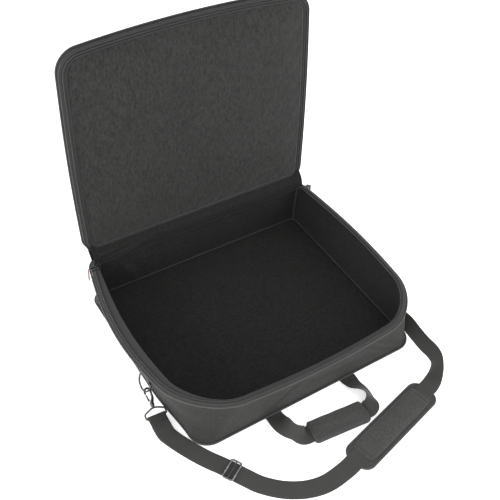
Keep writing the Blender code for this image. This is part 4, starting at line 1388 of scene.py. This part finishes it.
@dataclass
class SideHardware:
    """D-ring in its webbing tab, swivel snap hook, strap eye and the strap's folded end."""

    side: Side
    form: TrayForm = field(default_factory=TrayForm)
    radius: float = 0.0205
    bar_z: float = 0.0580
    bar_y: float = -0.0640
    drop: float = 0.0090
    lean: float = 20.0
    wire: float = 0.0020
    eye_reach: float = 0.0526
    web: float = 0.038

    def __post_init__(self) -> None:
        """Work out the axes of each link in the chain from the ring's bar outwards."""
        sign = self.side.value
        left = self.side is Side.LEFT
        plane = float(self.form.wall_x(self.side, self.bar_z, self.bar_y)) + sign * 0.0042
        bar = np.array([plane, self.bar_y, self.bar_z])
        a = math.radians(-sign * self.lean)
        lean = np.array([[math.cos(a), 0.0, -math.sin(a)], [0.0, 1.0, 0.0], [math.sin(a), 0.0, math.cos(a)]])
        self.ring_place = Place(bar, lean)
        along = unit(np.array([sign * 0.06, *((-0.83, -0.50) if left else (-0.91, -0.36))]))
        across = np.array([1.0, 0.08, 0.0])
        across = unit(across - along * (across @ along))
        up = np.cross(along, across)
        up = up if up[2] > 0 else -up
        across = unit(np.cross(up, along))
        radial = unit(np.array([0.0, along[1], along[2]]))
        grip = self.ring_place(np.array([0.0, 0.0, -self.drop]) + radial * self.radius)
        self.hook_place = Place(grip, np.stack([along, across, up]))
        turn = math.radians(0.0 if left else 62.0)
        y2 = across * math.cos(turn) + up * math.sin(turn)
        z2 = up * math.cos(turn) - across * math.sin(turn)
        self.eye_place = Place(self.hook_place([0.0330, 0.0, 0.0]), np.stack([along, y2, z2]))
        run = np.array((0.06, -0.99, -0.12) if left else (0.0, -1.0, -0.03))
        run = unit(run - y2 * (run @ y2))
        normal = unit(np.cross(y2, run))
        self.end_place = Place(self.hook_place([self.eye_reach, 0.0, 0.0]), np.stack([run, normal, y2]))

    def tab(self) -> bpy.types.Object:
        """The webbing tab: down the wall, round the ring's bar and back up over itself."""
        sign = self.side.value
        z = np.linspace(0.0890, self.bar_z + 0.0005, 14)
        wall = self.form.wall_x(self.side, z, self.bar_y)
        inner = np.stack([wall + sign * 0.0010, 0 * z + self.bar_y, z], -1)
        bar = self.ring_place.origin
        a = np.radians(np.linspace(190.0, 350.0, 14))
        turn = 0.0032 * np.stack([sign * np.cos(a), 0 * a, np.sin(a)], -1)
        loop = np.array([bar[0], self.bar_y, bar[2]]) + turn
        z2 = np.linspace(self.bar_z + 0.0030, 0.0860, 14)
        near = 0.0029 + 0.0032 * np.exp(-((z2 - self.bar_z) / 0.0045) ** 2)
        wall = self.form.wall_x(self.side, z2, self.bar_y)
        outer = np.stack([wall + sign * near, 0 * z2 + self.bar_y, z2], -1)
        path = smooth_line(even(np.vstack([inner, loop, outer]), 40), 2)
        return strip(f"d_ring_webbing_{self.side.tag}", path, np.array([0.0, 1.0, 0.0]), 0.032, 0.0014)

    def ring(self) -> bpy.types.Object:
        """The D-ring: a half circle of wire closed by a straight bar with tight corners."""
        a = np.radians(np.linspace(180.0, 360.0, 40))
        bow = np.stack([self.radius * np.cos(a), self.radius * np.sin(a) - self.drop], -1)
        top = np.array([(self.radius, -0.0030), (self.radius - 0.0006, -0.0008), (self.radius - 0.0026, 0.0)])
        flat = np.stack([np.linspace(self.radius - 0.006, -self.radius + 0.006, 12), np.zeros(12)], -1)
        plan = np.vstack([bow, top, flat, top[::-1] * (-1, 1)])
        path = self.ring_place(np.column_stack([np.zeros(len(plan)), plan]))
        return tube(f"d_ring_wire_{self.side.tag}", path, self.wire, self.ring_place.way(1, 0, 0), True, 18)

    def hook(self) -> bpy.types.Object:
        """The J hook: a cast bow, thicker at its neck and thinning to its nose."""
        a = np.radians(np.linspace(90.0, 270.0, 20))
        nose = 0.0062 * np.stack([np.cos(a), np.sin(a)], -1)
        plan = np.vstack([[(0.0262, 0.0004), (0.0228, 0.0012), (0.0190, 0.0034), (0.0130, 0.0054)], nose,
                          [(0.0026, -0.0062), (0.0046, -0.0061)]])
        line = even(smooth_line(plan, 5), 110)
        t = np.linspace(0.0, 1.0, len(line))
        thick = 0.0026 + 0.0012 * np.exp(-((t / 0.22) ** 2)) - 0.0006 * t
        path = self.hook_place(np.column_stack([line, np.zeros(len(line))]))
        return tube(f"snap_hook_{self.side.tag}", path, thick, self.hook_place.way(0, 0, 1), sides=18)

    def gate(self) -> bpy.types.Object:
        """The sprung gate: a slim rod with a rounded tip and a thumb stud."""
        t = np.linspace(0.0, 1.0, 30)
        plan = np.stack([0.0205 - 0.0151 * t, -0.0036 - 0.0022 * t, 0 * t], -1)
        thick = 0.0018 * (1 - 0.35 * t**3) + 0.0007 * bump_line(t, 0.18, 0.07)
        up = self.hook_place.way(0, 0, 1)
        return tube(f"snap_gate_{self.side.tag}", self.hook_place(plan), thick, up, sides=16)

    def barrel(self) -> bpy.types.Object:
        """The swivel: a turned collar with two grooves and domed ends."""
        profile = ((-0.0046, 0.0010), (-0.0044, 0.0026), (-0.0038, 0.0038), (-0.0026, 0.0045),
                   (-0.0012, 0.0045), (-0.0008, 0.0038), (-0.0002, 0.0038), (0.0002, 0.0046),
                   (0.0022, 0.0046), (0.0026, 0.0038), (0.0032, 0.0038), (0.0036, 0.0044),
                   (0.0048, 0.0042), (0.0060, 0.0036), (0.0065, 0.0022), (0.0066, 0.0008))
        origin = self.hook_place([0.0263, 0.0, 0.0])
        return turned(f"snap_swivel_{self.side.tag}", profile, origin, self.hook_place.axes[0])

    def eye(self) -> bpy.types.Object:
        """The strap eye: a wire trapezoid that hangs from the swivel."""
        half = self.web / 2 + 0.0030
        plan = [(0.0026, 0.0058), (0.0020, 0.0), (0.0026, -0.0058), (0.0076, 0.004 - half), (0.0106, -half),
                (0.0176, -half), (0.0196, 0.002 - half), (0.0196, 0.0), (0.0196, half - 0.002),
                (0.0176, half), (0.0106, half), (0.0076, half - 0.004)]
        line = smooth_line(plan, 8, loop=True)
        path = self.eye_place(np.column_stack([line, np.zeros(len(line))]))
        return tube(f"strap_eye_wire_{self.side.tag}", path, 0.0019, self.eye_place.way(0, 0, 1), True, 18)

    def fold(self) -> bpy.types.Object:
        """The strap's end: from the tail round the eye's bar and back along itself."""
        upper = np.stack([np.linspace(0.0278, 0.0082, 10), np.full(10, 0.0009)], -1)
        a = np.radians(np.linspace(52.0, 308.0, 26))
        bend = 0.0035 * np.stack([np.cos(a), np.sin(a)], -1)
        plan = np.vstack([upper, bend, upper[::-1] * (1, -1)])
        line = even(smooth_line(plan, 3), 90)
        path = self.end_place(np.column_stack([line, np.zeros(len(line))]))
        return strip(f"strap_fold_{self.side.tag}", path, self.end_place.axes[2], self.web, 0.0015)

    def fold_stitch(self) -> bpy.types.Object:
        """A sewn box with a cross in it, on the fold's outer face."""
        w, a, b = self.web / 2 - 0.005, 0.0095, 0.0262
        box = np.array([(a, -w), (b, -w), (b, w), (a, w), (a, -w), (b, w), (b, -w), (a, w)])
        line = even(box, 120)
        face = 0.00172 if self.end_place.axes[1][2] > 0 or self.side is Side.RIGHT else -0.00172
        local = np.column_stack([line[:, 0], np.full(len(line), face), line[:, 1]])
        up = self.end_place.axes[1] * np.sign(face)
        return sew(f"strap_fold_stitch_{self.side.tag}", self.end_place(local), up, "tray")

    def build(self) -> list[bpy.types.Object]:
        """Make and dress the chain.

        Returns:
            The pieces that belong to the strap.
        """
        tag = self.side.tag
        fit(self.tab(), HANDLE_WEB, "tray", f"d_ring_tab_{tag}")
        fit(self.ring(), GUNMETAL, f"d_ring_{tag}", f"d_ring_{tag}")
        fit(self.hook(), GUNMETAL, f"hook_{tag}", f"hook_{tag}")
        fit(self.barrel(), GUNMETAL, f"hook_{tag}", f"hook_barrel_{tag}")
        fit(self.gate(), GUNMETAL, f"hook_gate_{tag}", f"hook_gate_{tag}")
        fit(self.eye(), GUNMETAL, f"strap_eye_{tag}", f"strap_eye_{tag}")
        fold = fit(self.fold(), STRAP_WEB, "tray", f"strap_end_{tag}")
        return [fold, self.fold_stitch()]


@dataclass
class TriGlide:
    """The strap adjuster: a flat wire frame and its middle bar, threaded by the strap."""

    place: Place = field(default_factory=lambda: upright(-0.2375, -0.3025, 0.0036, -59.8))

    def build(self) -> list[bpy.types.Object]:
        """Make the frame as a rounded ring of oval wire and the bar as a plain rod."""
        plan = rounded_plan((-0.0108, -0.0208), (0.0108, 0.0208), 0.0040, 0.0040, 10, 14)
        path = self.place(np.column_stack([plan, np.full(len(plan), 0.0030)]))
        t = tangents(path, True)
        across = np.cross(t, UP)
        profile = circle(1.0, 18) * (0.0021, 0.0016)
        ring = sweep("tri_glide_ring", path, profile, across, np.broadcast_to(UP, across.shape), True)
        y = np.linspace(-0.0186, 0.0186, 30)
        rod = self.place(np.column_stack([0 * y, y, 0 * y + 0.0030]))
        bar = tube("tri_glide_rod", rod, 0.0015, UP, sides=16)
        # The frame takes the lighter gunmetal copy, a painted highlight.
        return [fit(ring, HIGHLIGHT_GUNMETAL, "tri_glide", "tri_glide_frame"),
                fit(bar, GUNMETAL, "tri_glide", "tri_glide_bar")]


# ---------------------------------------------------------------- carrying handles


HANDLE_STATIONS = (
    (-0.0970, -0.2442, 0.0022, 0), (-0.0970, -0.2610, 0.0060, -16), (-0.0960, -0.2800, 0.0140, -44),
    (-0.0910, -0.2990, 0.0190, -66), (-0.0800, -0.3110, 0.0160, -44), (-0.0690, -0.3140, 0.0098, -8),
    (-0.0600, -0.3147, 0.0085, 0), (-0.0400, -0.3165, 0.0085, 0), (0.0070, -0.3210, 0.0085, 0),
    (0.0500, -0.3250, 0.0085, 0), (0.0740, -0.3273, 0.0085, 0), (0.0820, -0.3265, 0.0098, -8),
    (0.0920, -0.3210, 0.0150, -26), (0.0985, -0.3060, 0.0180, -50), (0.0985, -0.2850, 0.0140, -38),
    (0.0932, -0.2620, 0.0060, -16), (0.0930, -0.2442, 0.0022, 0))


@dataclass
class FrontHandle:
    """The front carrying loop of webbing, wrapped at its middle by a padded grip."""

    place: Place = field(default_factory=lambda: upright(0.0070, -0.3210, 0.0, -5.6))
    length: float = 0.130
    width: float = 0.048
    corner: float = 0.0075

    def plan(self) -> Array:
        """The grip's outline, a rounded rectangle about its centre."""
        half = (self.length / 2, self.width / 2)
        return rounded_plan((-half[0], -half[1]), half, self.corner, self.corner, 10, 34)

    def half(self, name: str, low: float, high: float, puff: float) -> bpy.types.Object:
        """One padded half of the grip: a rounded slab whose top is crowned by the solver."""
        plan = self.plan()
        draw = (0.016, 0.008, 0.003, 0.0010, 0.0002, 0.0, 0.0002, 0.0010, 0.0030, 0.0065, 0.0110,
                0.016, 0.021)
        part = (0.0, 0.0, 0.01, 0.08, 0.24, 0.50, 0.76, 0.92, 1.0, 1.02, 1.03, 1.04, 1.04)
        rise = [low + (high - low) * f for f in part]
        rise[8:] = [z + puff for z in rise[8:]]
        pad = domed(name, plan, draw, rise, self.place)
        held = np.zeros(len(pad.data.vertices), bool)
        held[: 6 * len(plan)] = True
        settle(pad, held, 0.0012)
        return pad

    def wrap(self) -> bpy.types.Object:
        """The wrap's rolled long edge: one skin that joins both halves behind the webbing."""
        x = np.linspace(-self.length / 2 + 0.004, self.length / 2 - 0.004, 60)
        a = np.radians(np.linspace(-90.0, 90.0, 18))
        wave = 0.0003 * np.sin(x * 150.0)[:, None]
        y = self.width / 2 - 0.0070 + (0.0078 + wave) * np.cos(a)[None, :]
        z = 0.0078 + 0.0070 * np.sin(a)[None, :] + 0 * wave
        grid = np.stack([np.broadcast_to(x[:, None], y.shape), y, np.broadcast_to(z, y.shape)], -1)
        return solid(sheet_mesh("grip_rolled_edge", self.place(grid)), 0.0012, -1.0)

    def build(self) -> None:
        """Make and dress the loop, its sewn roots and the grip."""
        ribbon = Ribbon(HANDLE_STATIONS)
        fit(ribbon.build("front_handle_loop", 0.0004), HANDLE_WEB, "front_handle", "handle_webbing")
        lower = fit(self.half("grip_lower_half", 0.0006, 0.0072, 0.0), OXFORD_PAD,
                    "front_handle", "grip_pad_lower")
        upper = fit(self.half("grip_upper_half", 0.0096, 0.0142, 0.0006), OXFORD_PAD, "front_handle",
                    "grip_pad_upper", "grip_closing_flap")
        fit(self.wrap(), OXFORD_PAD, "front_handle")
        plan = self.plan()
        for name, level in (("lower", 0.0062), ("upper", 0.0104)):
            path = self.place(np.column_stack([drawn_in(plan, 0.0002), np.full(len(plan), level)]))
            fit(tube(f"grip_{name}_piping", path, 0.0012, UP, True), BINDING, "front_handle")
        inner = drawn_in(plan, 0.0052)
        path = self.place(np.column_stack([inner, np.full(len(plan), 0.0150)]))
        sew("grip_edge_stitch", np.vstack([path, path[:1]]), UP, "front_handle")
        for side, x in ((Side.LEFT, -0.0970), (Side.RIGHT, 0.0930)):
            t = np.linspace(0.0, 1.0, 24)
            y = -0.2340 - 0.0104 * t
            z = 0.0024 + 0.0002 * np.sin(t * 9.0)
            root = strip(f"handle_root_{side.tag}", np.stack([np.full_like(t, x), y, z], -1),
                         np.array([1.0, 0.0, 0.0]), 0.038, 0.0016)
            fit(root, HANDLE_WEB, "tray", f"handle_tab_{side.tag}")


@dataclass
class LidHandle:
    """The second carrying loop, flat on the lid's outer face."""

    lid: Lid
    face: float = 0.0200
    span: float = 0.095

    def build(self) -> None:
        """The loop runs up from two sewn tabs, turns in and crosses level, one webbing wide."""
        z = self.face + 0.0012
        side = [(self.span, -0.4260), (self.span, -0.4080), (self.span, -0.3860),
                (self.span - 0.003, -0.3660), (self.span - 0.014, -0.3530), (0.060, -0.3500)]
        rows = [(-x, y) for x, y in side] + [(0.0, -0.3500)] + side[::-1]
        line = smooth_line(rows, 8)
        local = np.column_stack([line, np.full(len(line), z)])
        t = tangents(local)
        up = np.array([0.0, 0.0, 1.0])
        across = np.cross(t, up)
        loop = sweep("lid_handle_loop", self.lid.place(local), flat_band(0.038, 0.0016),
                     across @ self.lid.place.axes, np.broadcast_to(up @ self.lid.place.axes, across.shape))
        fit(loop, HANDLE_WEB, "lid_handle", "lid_handle_webbing")
        for side in Side:
            x = side.value * self.span
            y = np.linspace(-0.4590, -0.4240, 20)
            tab = self.lid.place(np.column_stack([0 * y + x, y, 0 * y + self.face - 0.0006]))
            piece = strip(f"lid_handle_root_{side.tag}", tab, np.array([1.0, 0.0, 0.0]), 0.038, 0.0018)
            fit(piece, HANDLE_WEB, "lid", f"lid_handle_tab_{side.tag}")
            w = 0.014
            low, high = -0.4570, -0.4300
            box = np.array([(x - w, low), (x + w, low), (x + w, high), (x - w, high), (x - w, low),
                            (x + w, high), (x + w, low), (x - w, high)])
            row = even(box, 150)
            row = self.lid.place(np.column_stack([row, np.full(len(row), self.face + 0.0004)]))
            sew(f"lid_handle_stitch_{side.tag}", row, self.lid.place.way(0, 0, 1), "lid")


def main() -> None:
    """Build the case sub-assembly by sub-assembly: camera and strap first."""
    logging.basicConfig(level=logging.INFO, format="%(name)s: %(message)s")
    Studio().build()
    strap = ShoulderStrap()
    strap.build()
    on_strap = TriGlide().build()
    for side in Side:
        on_strap += SideHardware(side).build()
    strap.declare()
    Tray().build()
    Rim().build()
    lid = Lid()
    lid.build()
    LidHandle(lid).build()
    FrontHandle().build()
    for side in Side:
        ZipSlider(side).build()
    bpy.context.view_layer.update()


if __name__ == "__main__":
    main()
